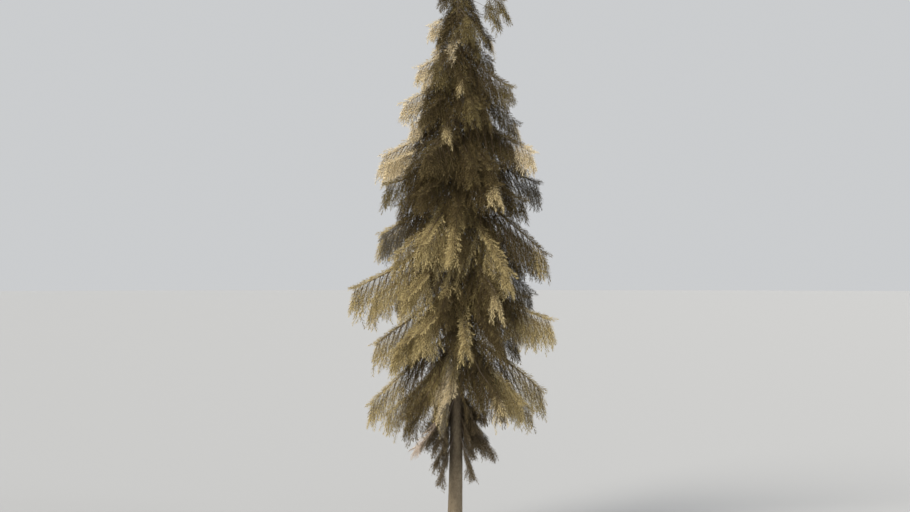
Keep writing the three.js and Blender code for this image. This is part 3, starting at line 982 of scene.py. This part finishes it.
@dataclass
class Shoots:
    """Many shoots as arrays: each runs from its root and sags towards its tip."""

    root: Array  # Places of the roots, n x 3
    run: Array  # From each root to the tip before the sag, n x 3
    radius: Any  # Of the wood at each root
    tone: Any  # Rank of each shoot's tone
    vigour: Any  # Size of the side shoots on each, 1 on a long twig
    age: Any = 0.0  # 0 for young whorls and 1 for old ones
    sag: Any = 0.0  # How far each tip hangs under that line

    def __post_init__(self) -> None:
        """Spread the values that all the shoots share."""
        for name in ("radius", "tone", "vigour", "age", "sag"):
            setattr(self, name, np.broadcast_to(getattr(self, name), len(self.root)))

    @property
    def lengths(self) -> Array:
        """Return the lengths before the sag."""
        return np.linalg.norm(self.run, axis=1)

    def points(self, pick: Array, share: Array) -> Array:
        """Return places on picked shoots at shares of their lengths."""
        return self.root[pick] + self.run[pick] * share[:, None] - np.outer(self.sag[pick] * share**2, UP)

    def headings(self, pick: Array, share: Array) -> Array:
        """Return directions of picked shoots at shares of their lengths."""
        return unit(self.run[pick] - np.outer(2 * self.sag[pick] * share, UP))

    @classmethod
    def gather(cls, groups: list["Shoots"]) -> "Shoots":
        """Return several groups of shoots as one."""
        return cls(*(np.concatenate([getattr(g, f.name) for g in groups]) for f in fields(cls)))

    def beside(self, trunk: Trunk) -> "Shoots":
        """Return the shoots whose tips leave the bare trunk in view."""
        seen = ~trunk.hidden_by(self.root + self.run)
        return Shoots(*(getattr(self, f.name)[seen] for f in fields(self)))

    def strew(
        self, spacing: float, least: int, play: Pair, rng: np.random.Generator
    ) -> tuple[Array, Array, Array]:
        """Deal out places along the shoots.

        Args:
            spacing: From one place to the next.
            least: Number of places on the shortest shoots.
            play: Range of a place within its own stretch.
            rng: For that.

        Returns:
            For each place its shoot, its number on the shoot and its share of the shoot's length.
        """
        counts = np.maximum(least, np.round(self.lengths / spacing).astype(int))
        pick = np.repeat(np.arange(len(counts)), counts)
        order = np.arange(len(pick)) - np.repeat(np.cumsum(counts) - counts, counts)
        return pick, order, (order + rng.uniform(*play, len(pick))) / counts[pick]

    def wood(self, rings: int, sides: int = 3, end: float = 0.25) -> tuple[Array, Array]:
        """Work out angular twigs that run out in a point.

        Args:
            rings: On each twig.
            sides: Of each ring.
            end: Radius that a twig tapers towards before its point, against that at the root.

        Returns:
            Places and triangles.
        """
        count = len(self.root)
        shares = np.tile(np.arange(rings) / rings, count)
        pick = np.repeat(np.arange(count), rings)
        middle, heading = self.points(pick, shares), self.headings(pick, shares)
        radius = self.radius[pick] * lerp(1, end, shares)
        corners = []
        for i in range(sides):
            corners.append(middle + spokes(heading, 2 * math.pi * i / sides) * radius[:, None])
        ring_places = np.stack(corners, axis=1).reshape(count, rings * sides, 3)
        tips = self.points(np.arange(count), np.ones(count))[:, None]
        places = np.concatenate((ring_places, tips), axis=1)
        faces = []
        for ring in range(rings):
            for i in range(sides):
                here, there = ring * sides + i, ring * sides + (i + 1) % sides
                if ring + 1 < rings:
                    faces += [(here, there, there + sides), (here, there + sides, here + sides)]
                else:
                    faces.append((here, there, rings * sides))
        offsets = np.arange(count)[:, None, None] * places.shape[1]
        triangles = (np.array(faces)[None] + offsets).reshape(-1, 3)
        return places.reshape(-1, 3), triangles

    @staticmethod
    def bundle(name: str, groups: list["Shoots"], rings: tuple[int, ...]) -> Piece:
        """Make the wood of groups of shoots as one object.

        Args:
            name: Of the object.
            groups: The groups.
            rings: On each twig, by group.

        Returns:
            The object.
        """
        places = np.empty((0, 3))
        faces = np.empty((0, 3), dtype=int)
        for shoots, ring_count in zip(groups, rings):
            more_places, more_faces = shoots.wood(ring_count)
            faces = np.concatenate((faces, more_faces + len(places)))
            places = np.concatenate((places, more_places))
        return Workbench.mesh(name, places, faces)


@dataclass
class Needles:
    """Needles around shoots, each a folded kite of two triangles."""

    spacing: float = 0.0122  # Along a shoot from one needle to the next
    length: float = 0.092
    width: float = 0.0155
    sweep: Pair = (1.0, 0.4)  # Angle between needle and shoot at its foot and at its tip
    fold: float = 0.28  # Height of the fold against the width
    widest: float = 0.42  # Share of the length where a needle is widest
    least: int = 4  # Number on the shortest shoots
    clearance: float = 0.5  # From the trunk's wood, in lengths
    turn_play: float = 0.4  # Either way around the shoot
    sweep_play: float = 0.15  # Either way from the sweep
    length_play: Pair = (0.75, 1.15)
    end_length: float = 0.75  # Length at a shoot's tip against that at its foot

    def kites(self, shoots: Shoots, trunk: Trunk, seed: int) -> tuple[Array, Array]:
        """Work out the needles of shoots.

        Args:
            shoots: The shoots that carry them.
            trunk: Keeps needles out of its wood.
            seed: Of their variation.

        Returns:
            Places, n x 4 x 3, and the ranks of the tones.
        """
        rng = np.random.default_rng(seed)
        pick, order, share = shoots.strew(self.spacing, self.least, (0, 1), rng)
        clear = trunk.clear_of(shoots.points(pick, share), self.clearance * self.length)
        pick, order, share = pick[clear], order[clear], share[clear]
        root, heading = shoots.points(pick, share), shoots.headings(pick, share)
        count = len(pick)
        turn = order * GOLDEN_TURN + rng.uniform(-self.turn_play, self.turn_play, count)
        spoke = spokes(heading, turn)
        angle = lerp(*self.sweep, share**2) + rng.uniform(-self.sweep_play, self.sweep_play, count)
        aim = swing(heading, spoke, angle)
        length = self.length * rng.uniform(*self.length_play, count) * lerp(1, self.end_length, share**3)
        half = np.cross(aim, spoke) * (0.5 * self.width)
        ridge = np.cross(unit(half), aim) * (self.fold * self.width)
        tip = root + aim * length[:, None]
        middle = root + aim * (self.widest * length)[:, None] - ridge
        return np.stack((root, middle + half, tip, middle - half), axis=1), shoots.tone[pick]

    @staticmethod
    def mesh(name: str, kites: Array) -> Piece:
        """Make an object of needles.

        Args:
            name: Of the object.
            kites: Places of their corners, n x 4 x 3.

        Returns:
            The object.
        """
        halves = np.array(((0, 1, 2), (0, 2, 3)))
        faces = halves[None] + 4 * np.arange(len(kites))[:, None, None]
        return Workbench.mesh(name, kites.reshape(-1, 3), faces.reshape(-1, 3))


@dataclass(frozen=True)
class SprayHabit:
    """How side shoots stand on the twig that carries them."""

    spacing: float  # Along the twig from one side shoot to the next, left and right by turns
    lengths: Pair  # At the foot and at the tip of a vigorous twig
    hang: Pair  # Downwards, against the twig's own direction, in young and old whorls
    lean: float = 0.6  # Sideways, likewise
    radius: float = 0.0028  # Of the wood at the root
    sag: float = 0.12  # Against the length
    place_play: Pair = (0.2, 0.8)  # Range of a place within its own stretch of the twig
    lean_play: Pair = (0.4, 1.4)
    hang_play: Pair = (0.6, 1.4)
    length_play: Pair = (0.7, 1.25)

    def grow(self, twigs: Shoots, seed: int) -> Shoots:
        """Grow side shoots on twigs.

        Args:
            twigs: The twigs that carry them.
            seed: Of their variation.

        Returns:
            The side shoots, each with its twig's tone.
        """
        rng = np.random.default_rng(seed)
        pick, order, place = twigs.strew(self.spacing, 1, self.place_play, rng)
        count = len(pick)
        heading = twigs.headings(pick, place)
        beside = unit(np.cross(NEARLY_UP, heading)) * by_turns(order)[:, None]
        lean = self.lean * rng.uniform(*self.lean_play, count)
        hang = lerp(*self.hang, twigs.age[pick]) * rng.uniform(*self.hang_play, count)
        aim = unit(heading + beside * lean[:, None] - np.outer(hang, UP))
        size = lerp(*self.lengths, place) * twigs.vigour[pick]
        length = size * rng.uniform(*self.length_play, count)
        return Shoots(
            root=twigs.points(pick, place),
            run=aim * length[:, None],
            sag=length * self.sag,
            radius=self.radius,
            tone=twigs.tone[pick],
            age=twigs.age[pick],
            vigour=twigs.vigour[pick],
        )


HANGING_SPRAYS = SprayHabit(spacing=0.066, lengths=(0.29, 0.19), hang=(0.45, 0.8))
CREST_SPRAYS = SprayHabit(spacing=0.034, lengths=(0.2, 0.15), hang=(-0.55, -0.3), lean=0.8)
DRY_SPRAYS = SprayHabit(spacing=0.032, lengths=(0.22, 0.1), hang=(0.9, 0.9), radius=0.0022)
PLUME_SPRAYS = SprayHabit(spacing=0.022, lengths=(0.17, 0.12), hang=(0.3, 0.3), lean=0.8, radius=0.005)


@dataclass(frozen=True)
class TwigHabit:
    """How twigs stand on a live bough, left and right of it by turns."""

    # Least share of the reach where twigs start, on limbed boughs and on the others.
    first: Pair = (0.1, 0.08)
    last: float = 0.935  # Share of the reach where they end
    # Along a bough from one twig to the next, and what each metre of reach adds.
    spacing: Pair = (0.034, 0.02)
    place_play: Pair = (0.2, 0.8)  # Range of a place within its own stretch of the bough
    crowding: float = 1.45  # Over 1 the twigs stand closer towards the tip
    angles: Pair = (1.1, 0.65)  # From the bough, at the foot and the tip of its foliage
    tilt: Pair = (0.1, 0.4)  # Range downwards
    fall: Pair = (0.8, 1.15)  # Added to the tilt at the tip, in young and old whorls
    longest: float = 0.3  # Length of the longest twigs, of the reach
    shortest: Pair = (0.12, 0.11)  # Length of the last twigs, and what each metre of reach adds
    inner: Pair = (0.6, 0.2)  # Size of the first twigs, and the share of the foliage in which it rises to 1
    thinning: float = 0.8  # Exponent with which the size falls towards the tip
    length_play: Pair = (0.8, 1.1)
    droop: Pair = (0.28, 0.4)  # Sag against the length, in young and old whorls
    droop_play: Pair = (0.7, 1.3)  # Range of the sag
    radius: float = 0.55  # Against the bough's wood
    vigour: Pair = (0.3, 1.4)  # Of a twig, and what each metre of its length adds, up to 1

    def grow(self, bough: Bough, trunk: Trunk) -> Shoots:
        """Grow twigs on a bough.

        Args:
            bough: The bough that carries them.
            trunk: Parts the sprays on its left from the others.

        Returns:
            The twigs, each with the tone of its spray.
        """
        rng = np.random.default_rng(bough.seed)
        first = max(bough.bare, self.first[0 if bough.limbed else 1])
        count = round(bough.reach * (1 - first) / with_length(self.spacing, bough.reach))
        order = np.arange(count)
        place = 1 - (1 - (order + rng.uniform(*self.place_play, count)) / count) ** self.crowding
        share = lerp(first, self.last, place)
        angle = lerp(*self.angles, place) * by_turns(order)
        fall = rng.uniform(*self.tilt, count) + lerp(*self.fall, bough.age) * place
        inner_size, inner_end = self.inner
        size = (1 - place) ** self.thinning * lerp(inner_size, 1, np.minimum(1, place / inner_end))
        length = with_length(self.shortest, bough.reach) + self.longest * bough.reach * size
        length *= rng.uniform(*self.length_play, count)
        sag = length * lerp(*self.droop, bough.age) * rng.uniform(*self.droop_play, count)
        root, run = bough.points(share), bough.aims(share, angle, fall) * length[:, None]
        tips = root + run
        return Shoots(
            root=root,
            run=run,
            sag=sag,
            radius=self.radius * bough.radii(share),
            # Sprays that end left of the trunk can take the dress's painted sunlight from the left.
            tone=bough.dress.deal(place, tips[:, 0] < trunk.offset(tips[:, 2]), rng),
            age=bough.age,
            vigour=np.minimum(1, with_length(self.vigour, length)),
        )


@dataclass(frozen=True)
class DryHabit:
    """How bare twigs stand on a dead bough."""

    count: int
    stretch: Pair  # Shares of the reach between which they stand
    lengths: Pair  # Of the reach, at the trunk and at the tip
    angles: Pair  # Range from the bough's own direction
    tilt: Pair  # Range downwards
    radius: float  # Against the bough's wood
    sprays: SprayHabit  # The finer twigs on them
    place_play: Pair = (0, 0.8)  # Range of a place within its own part of the stretch
    length_play: Pair = (0.6, 1.0)
    sag: float = 0.2  # Against the length
    vigour: Pair = (0.3, 1.6)  # Of a twig, and what each metre of its length adds, up to 1

    def grow(self, bough: Bough, trunk: Trunk) -> tuple[Shoots, Shoots]:
        """Grow bare twigs on a dead bough.

        Args:
            bough: The dead bough.
            trunk: Stays in view.

        Returns:
            The stouter twigs, and the finer ones on them.
        """
        rng = np.random.default_rng(bough.seed)
        order = np.arange(self.count)
        share = lerp(*self.stretch, (order + rng.uniform(*self.place_play, self.count)) / self.count)
        angle = rng.uniform(*self.angles, self.count) * by_turns(order)
        aim = bough.aims(share, angle, rng.uniform(*self.tilt, self.count))
        length = bough.reach * lerp(*self.lengths, share) * rng.uniform(*self.length_play, self.count)
        stouter = Shoots(
            root=bough.points(share),
            run=aim * length[:, None],
            sag=self.sag * length,
            radius=self.radius * bough.radii(share),
            tone=Tone.DRY.rank,
            age=1.0,
            vigour=np.minimum(1, with_length(self.vigour, length)),
        ).beside(trunk)
        return stouter, self.sprays.grow(stouter, bough.seed).beside(trunk)


SKIRT_TWIGS = DryHabit(36, (0.04, 0.96), (0.8, 0.3), (0.3, 1.7), (0.5, 2.0), 0.43, DRY_SPRAYS)
PLUME_TWIGS = DryHabit(80, (0.3, 0.88), (0.42, 0.26), (0.1, 0.8), (-0.6, 0.7), 0.9, PLUME_SPRAYS)


@dataclass(frozen=True)
class Spiral:
    """Short shoots that climb around the end of the trunk.

    Each of the first four pairs holds the value of the lowest shoot and that of the highest.
    """

    count: int
    roots: Pair  # Heights over the end of the trunk's wood
    lengths: Pair  # From root to tip
    rises: Pair  # Upwards, against 1 outwards
    vigours: Pair  # Size of their side shoots
    turn_play: float = 0.3  # Either way around the trunk
    length_play: Pair = (0.8, 1.05)
    radius: float = 0.005  # Of the wood at the root

    def grow(self, trunk: Trunk, seed: int) -> Shoots:
        """Grow the shoots.

        Args:
            trunk: Carries them.
            seed: Of their variation.

        Returns:
            The shoots, each a golden turn further around than the last.
        """
        rng = np.random.default_rng(seed)
        order = np.arange(self.count)
        place = (order + rng.uniform(0, 1, self.count)) / self.count
        azimuth = order * GOLDEN_TURN + rng.uniform(-self.turn_play, self.turn_play, self.count)
        aim = unit(np.stack((np.cos(azimuth), np.sin(azimuth), lerp(*self.rises, place)), axis=1))
        length = lerp(*self.lengths, place) * rng.uniform(*self.length_play, self.count)
        return Shoots(
            root=trunk.middle(trunk.top + lerp(*self.roots, place)),
            run=aim * length[:, None],
            radius=self.radius,
            tone=Tone.OLIVE.rank,
            vigour=lerp(*self.vigours, place),
        )


COLLAR = Spiral(24, roots=(-0.85, -0.2), lengths=(0.2, 0.28), rises=(-0.8, -0.5), vigours=(0.5, 0.7))
SPIRE = Spiral(66, roots=(-0.18, 0.6), lengths=(0.44, 0.08), rises=(-0.45, 2.8), vigours=(0.8, 0.25))


@dataclass
class Crown:
    """The whorls of live boughs and the leader, with their wood, twigs and needles."""

    trunk: Trunk  # Carries the boughs
    whorl_twist: float = math.pi / 8  # Whorls turn this far one way and the other by turns
    azimuth_play: float = 0.1  # Either way around the trunk
    height_play: float = 0.09  # Either way, up and down the trunk
    sag_range: Pair = (-0.35, 0.45)  # Of the boughs
    side_bend: float = 0.09  # Share of the reach that a tip swings sideways
    limbed_whorls: int = 4  # The lowest whorls, with bare limbs inside
    fork_seeds: int = 1000  # Where the seeds of side boughs start, past those of the boughs
    fork_turns: Pair = (0.5, -0.62)  # Of the two side boughs that grow with each bough, around the trunk
    fork_drops: Pair = (0.16, 0.36)  # How far they start below it on the trunk
    fork_hang: Pair = (1.08, 0.95)  # Scale of that and of their own drop, in young and old whorls
    fork_reach: float = 0.86  # Their reach against the bough's
    fork_girth: float = 0.6  # Their girth, likewise
    start_play: Pair = (0.8, 1.2)  # Range of how far they start below it
    reach_play: Pair = (0.88, 1.05)  # Range of their reach
    drop_play: Pair = (0.9, 1.1)  # Range of their drop
    stem_stretch: Pair = (0.2, 0.95)  # Shares of a bough's reach between which it carries needles itself
    stem_points: int = 10  # Number of places on that stretch
    stem_vigour: Pair = (0.45, 0.35)  # Of that stretch, and what each metre of reach adds, up to 1
    leader_radius: float = 0.013  # Of the leader's shoot at its foot
    leader_gap: float = 0.02  # From its tip to the top of the tree, for the last needles
    rings: tuple[int, int] = (4, 1)  # On each twig and on each side shoot
    twigs: TwigHabit = field(default_factory=TwigHabit)  # On all boughs
    needles: Needles = field(default_factory=Needles)  # On all shoots

    def bough(self, index: int, side: Side) -> Bough:
        """Work out one bough of a whorl.

        Args:
            index: The whorl's number from the top.
            side: Where the bough points.

        Returns:
            The bough with its own variation.
        """
        whorl = WHORLS[index]
        seed = 10 * (index + 1) + side.value
        twist = self.whorl_twist if index % 2 else -self.whorl_twist
        turn = twist + either_way(seed, 1, self.azimuth_play)
        bend = either_way(seed, 4, self.side_bend)
        tips = {Side.LEFT: whorl.left, Side.RIGHT: whorl.right}
        mean = tuple((a + b) / 2 for a, b in zip(whorl.left, whorl.right))
        across, drop = tips.get(side, mean)
        return Bough(
            name=f"{len(WHORLS) - index}_{side.name.lower()}",
            seed=seed,
            azimuth=side.azimuth + turn,
            base=self.trunk.middle(whorl.height + either_way(seed, 2, self.height_play)),
            reach=across / math.cos(turn + bend) if side in tips else across,
            drop=drop,
            sag=vary(seed, 3, *self.sag_range),
            bend=bend,
            dress=whorl.dress[side.value],
            whorl=index,
            age=index / (len(WHORLS) - 1),
            limbed=index >= len(WHORLS) - self.limbed_whorls,
            bare=whorl.bare_right if side is Side.RIGHT else 0,
        )

    def fork(self, bough: Bough, index: int) -> Bough:
        """Work out a smaller bough that grows beside a bough and below it.

        Args:
            bough: The bough.
            index: 0 or 1, for the two side boughs.

        Returns:
            The side bough with its own variation.
        """
        seed = self.fork_seeds + 2 * bough.seed + index
        hang = lerp(*self.fork_hang, bough.age)
        start = hang * self.fork_drops[index] * vary(seed, 2, *self.start_play)
        return replace(
            bough,
            seed=seed,
            azimuth=bough.azimuth + self.fork_turns[index] + either_way(seed, 1, self.azimuth_play),
            base=bough.base - UP * start,
            reach=bough.reach * self.fork_reach * vary(seed, 3, *self.reach_play),
            drop=bough.drop * hang * vary(seed, 4, *self.drop_play),
            bend=either_way(seed, 5, self.side_bend),
            sag=vary(seed, 6, *self.sag_range),
            dress=bough.dress.fork(index),
            girth=self.fork_girth,
        )

    def boughs(self) -> list[Bough]:
        """Work out all live boughs.

        Returns:
            Those of the whorls from the youngest to the oldest, then the side boughs in the same order.
        """
        found = []
        for index, whorl in enumerate(WHORLS):
            found += [self.bough(index, side) for side, _ in zip(Side, whorl.dress)]
        return found + [self.fork(bough, i) for bough in found for i in range(len(self.fork_turns))]

    def stems(self, bough: Bough) -> Shoots:
        """Divide the outer stretch of a bough into short shoots that carry needles themselves.

        Args:
            bough: The bough.

        Returns:
            The shoots, end to end.
        """
        start, end = self.stem_stretch
        shares = np.linspace(max(start, bough.bare), end, self.stem_points)
        points = bough.points(shares)
        return Shoots(
            root=points[:-1],
            run=np.diff(points, axis=0),
            radius=bough.radii(shares[:-1]),
            tone=bough.dress.deal_crest(shares[1:]),
            vigour=min(1, with_length(self.stem_vigour, bough.reach)),
            age=bough.age,
        )

    def leader(self) -> Shoots:
        """Set up the leader's own shoot, which carries the tip of the tree.

        Returns:
            The one shoot.
        """
        foot = self.trunk.middle(np.array([self.trunk.top]))
        rise = UP[None] * (self.trunk.tree_height - self.trunk.top - self.leader_gap)
        return Shoots(root=foot, run=rise, radius=self.leader_radius, tone=Tone.OLIVE.rank, vigour=1.0)

    def build_foliage(self, tier: Tier, boughs: list[Bough]) -> None:
        """Grow twigs and needles on the boughs of a tier.

        Args:
            tier: The stretch of the crown.
            boughs: The boughs that carry it.
        """
        twigs = [self.twigs.grow(bough, self.trunk) for bough in boughs]
        nodes = sorted({f"foliage_{bough.name}" for bough in boughs})
        if tier.has_leader:
            twigs += [spiral.grow(self.trunk, spiral.count) for spiral in (COLLAR, SPIRE)]
            nodes.append("leader_foliage")
        stouter = Shoots.gather(twigs).beside(self.trunk)
        stems = Shoots.gather([self.stems(bough) for bough in boughs])
        hanging = HANGING_SPRAYS.grow(stouter, boughs[0].seed)
        crest = CREST_SPRAYS.grow(stems, boughs[1].seed)
        finer = Shoots.gather([hanging, crest]).beside(self.trunk)
        finer.tone = Tone.let_stray(finer.tone, np.random.default_rng(boughs[2].seed))
        if tier.has_leader:
            stouter = Shoots.gather([stouter, self.leader()])
        wood = Shoots.bundle(f"twigs_{tier.name}", [stouter, finer], self.rings)
        Workbench.publish(wood, TWIG_BARK.material(), Slot.BARK, nodes)
        shoots = Shoots.gather([stouter, finer, stems])
        kites, tones = self.needles.kites(shoots, self.trunk, boughs[-1].seed)
        for tone in Tone:
            chosen = kites[tones == tone.rank]
            if len(chosen):
                sprays = Needles.mesh(f"needles_{tier.name}_{tone.name.lower()}", chosen)
                Workbench.publish(sprays, needle_wax(tone).material(), tier.slot, nodes)

    def build(self) -> None:
        """Build the wood of all boughs, then the foliage tier by tier."""
        boughs = self.boughs()
        limbs = sorted({f"limb_{bough.name}" for bough in boughs if bough.limbed})
        LIVE_LIMBS.build("bough_bark", boughs, Slot.BARK, limbs)
        for tier in TIERS:
            self.build_foliage(tier, [bough for bough in boughs if bough.whorl in tier.whorls])


@dataclass(frozen=True)
class DeadLimb:
    """One dead bough and the smaller ones beside it."""

    side: Side  # Where it points
    height: float  # On the trunk
    reach: float  # From the trunk's middle to the tip
    drop: float  # To the tip
    turn: float  # From the side's own direction
    beside: tuple[Triple, ...]  # Turn around the trunk, rise, and size of each smaller one against it
    bleached: bool = False  # Whether it has lost its bark and stands out pale from the smaller ones: partly bleached and partly painted sunlight


LEFT_DEAD_LIMB = DeadLimb(
    Side.LEFT,
    height=3.05,
    reach=0.90,
    drop=1.23,
    turn=0.12,
    beside=(
        (0.5, 0.1, 0.85), (-0.45, 0.22, 0.7), (0.85, 0.05, 0.9), (-1.0, 0.02, 0.6),
        (0.2, 0.3, 0.55), (0.7, 0.35, 0.6), (-0.75, 0.4, 0.55), (-1.5, 0.2, 0.6),
    ),
    bleached=True,
)
RIGHT_DEAD_LIMB = DeadLimb(
    Side.RIGHT,
    height=2.78,
    reach=0.77,
    drop=0.86,
    turn=-0.2,
    beside=(
        (0.5, 0.1, 0.85), (-0.45, 0.22, 0.7), (1.1, 0.05, 0.92), (-0.9, 0.02, 0.6), (0.2, 0.3, 0.55),
        (0.8, 0.35, 0.6), (-0.7, 0.4, 0.55), (1.6, 0.2, 0.7), (0.1, 0.42, 0.75),
    ),
)
FRONT_DEAD_LIMB = DeadLimb(
    Side.FRONT,
    height=2.42,
    reach=0.64,
    drop=1.04,
    turn=-0.55,
    beside=((-0.5, 0.1, 0.85), (1.15, 0.0, 0.92), (-0.2, 0.25, 0.6), (1.5, 0.15, 0.7), (-0.8, 0.3, 0.6)),
)


@dataclass
class DeadBoughs:
    """Dry boughs that droop under the crown, with bare twigs and a few brown needles."""

    trunk: Trunk  # Carries them
    limbs: tuple[DeadLimb, ...] = (LEFT_DEAD_LIMB, RIGHT_DEAD_LIMB, FRONT_DEAD_LIMB)
    first_seed: int = 200  # Of their variation
    sag: float = 0.25  # Of their lines
    rings: tuple[int, int] = (4, 2)  # On each stouter twig and on each finer one
    needles: Needles = field(default_factory=lambda: Needles(spacing=0.015, length=0.075, width=0.012))

    def bough(self, limb: DeadLimb, seed: int) -> Bough:
        """Return the line of one dead bough."""
        return Bough(
            name=limb.side.name.lower(),
            seed=seed,
            azimuth=limb.side.azimuth + limb.turn,
            base=self.trunk.middle(limb.height),
            reach=limb.reach,
            drop=limb.drop,
            sag=self.sag,
        )

    @staticmethod
    def smaller(limb: DeadLimb, bough: Bough) -> list[Bough]:
        """Work out the smaller dead boughs beside a dead bough.

        Args:
            limb: Says how they stand.
            bough: The dead bough.

        Returns:
            The smaller ones.
        """
        return [
            replace(
                bough,
                seed=10 * bough.seed + i,
                azimuth=bough.azimuth + turn,
                base=bough.base + UP * rise,
                reach=bough.reach * size,
                drop=bough.drop * size,
            )
            for i, (turn, rise, size) in enumerate(limb.beside)
        ]

    def build_twigs(
        self, name: str, boughs: list[Bough], finish: PlainFinish, node: str, habit: DryHabit
    ) -> Shoots:
        """Grow the twigs of dead boughs as one piece.

        Args:
            name: Of the piece.
            boughs: The boughs that carry them.
            finish: Of the twigs.
            node: The solid that the piece stands for.
            habit: How the twigs stand.

        Returns:
            All the twigs, for needles.
        """
        grown = [habit.grow(bough, self.trunk) for bough in boughs]
        groups = [Shoots.gather(list(twigs)) for twigs in zip(*grown)]
        twigs = Shoots.bundle(name, groups, self.rings)
        Workbench.publish(twigs, finish.material(), Slot.DEAD_WOOD, [node])
        return Shoots.gather(groups)

    def build(self) -> None:
        """Build each dead bough with its smaller ones: wood, twigs and dry needles."""
        for seed, limb in enumerate(self.limbs, self.first_seed):
            bough = self.bough(limb, seed)
            dry = self.smaller(limb, bough)
            node = f"dead_bough_{bough.name}"
            if limb.bleached:
                # The pale limb, bleached and with painted sunlight, carries its plume of pale twigs.
                SUNLIT_BLEACHED_LIMBS.build("bleached_wood", [bough], Slot.DEAD_WOOD, [node])
                self.build_twigs("bleached_twigs", [bough], SUNLIT_BLEACHED_TWIG, node, PLUME_TWIGS)
            else:
                dry.append(bough)
            DRY_LIMBS.build(f"dead_wood_{bough.name}", dry, Slot.DEAD_WOOD, [node])
            shoots = self.build_twigs(f"dead_twigs_{bough.name}", dry, DRY_TWIG, node, SKIRT_TWIGS)
            kites, _ = self.needles.kites(shoots, self.trunk, bough.seed)
            needles = Needles.mesh(f"dry_needles_{bough.name}", kites)
            Workbench.publish(needles, needle_wax(Tone.DRY).material(), Slot.DEAD_WOOD, [node])


@dataclass(frozen=True)
class Lamp:
    """One wide soft light, the same at every distance."""

    name: str
    side: Triple  # Where the light comes from
    strength: float
    tint: Triple
    spread: float = 30  # How wide it looks from the tree, in degrees

    def build(self) -> None:
        """Hang the lamp."""
        lamp = bpy.data.lights.new(self.name, "SUN")
        lamp.energy = self.strength
        lamp.color = self.tint
        lamp.angle = math.radians(self.spread)
        stand = bpy.data.objects.new(self.name, lamp)
        stand.rotation_euler = Vector(self.side).to_track_quat("Z", "Y").to_euler()
        bpy.context.scene.collection.objects.link(stand)


@dataclass
class Studio:
    """Floor, soft light and camera."""

    image_width: int = 910  # Of the picture, in pixels
    image_height: int = 512  # Likewise
    pixel: float = 0.02  # Metres that one pixel covers at the trunk
    trunk_column: float = 454.5  # Column of the trunk's foot in the picture
    ground_row: float = 545  # Row of the ground, below the picture's lower edge
    distance: float = 40  # From the camera to the trunk
    sight: float = 1000  # How far the camera sees
    sensor_width: float = 36  # Of the camera, in millimetres
    floor_radius: float = 300  # Of the pale floor
    floor_sides: int = 128  # Of its edge
    surround: Colour = (0.96, 0.98, 1.0, 1)  # Colour of the light from all around
    surround_strength: float = 0.62  # Of that light
    lamps: tuple[Lamp, ...] = (
        Lamp("key", (-0.62, -0.72, 0.62), 3.2, (1.0, 0.95, 0.87)),
        Lamp("fill", (0.9, -0.45, 0.35), 0.7, (0.94, 0.96, 1.0)),
        Lamp("back", (0.35, 0.9, 0.5), 1.4, (1.0, 0.97, 0.92)),
    )

    def build_floor(self) -> None:
        """Lay the pale floor."""
        Workbench.select()
        bpy.ops.mesh.primitive_circle_add(
            vertices=self.floor_sides, radius=self.floor_radius, fill_type="NGON"
        )
        floor = bpy.context.object
        floor.name = "floor"
        floor.data.materials.append(PALE_FLOOR.material())

    def build_light(self) -> None:
        """Light the tree with a pale surround and wide soft lamps."""
        world = bpy.data.worlds.new("surround")
        world.use_nodes = True
        background = world.node_tree.nodes["Background"]
        background.inputs["Color"].default_value = self.surround
        background.inputs["Strength"].default_value = self.surround_strength
        bpy.context.scene.world = world
        for lamp in self.lamps:
            lamp.build()
        bpy.context.scene.view_settings.view_transform = "Standard"

    def build_camera(self) -> None:
        """Set up the level camera that frames the tree as the picture does."""
        camera = bpy.data.cameras.new("camera")
        camera.sensor_width = self.sensor_width
        camera.lens = self.sensor_width * self.distance / (self.image_width * self.pixel)
        camera.clip_end = self.sight
        stand = bpy.data.objects.new("camera", camera)
        across = (self.image_width / 2 - self.trunk_column) * self.pixel
        height = (self.ground_row - self.image_height / 2) * self.pixel
        stand.location = (across, -self.distance, height)
        stand.rotation_euler = (math.pi / 2, 0, 0)
        bpy.context.scene.collection.objects.link(stand)
        bpy.context.scene.camera = stand


def main() -> None:
    """Build the tree and its studio in order."""
    logging.basicConfig(level=logging.INFO, format="%(name)s %(message)s")
    studio = Studio()
    studio.build_camera()
    studio.build_light()
    studio.build_floor()
    trunk = Trunk()
    trunk.build()
    Crown(trunk).build()
    DeadBoughs(trunk).build()


if __name__ == "__main__":
    main()
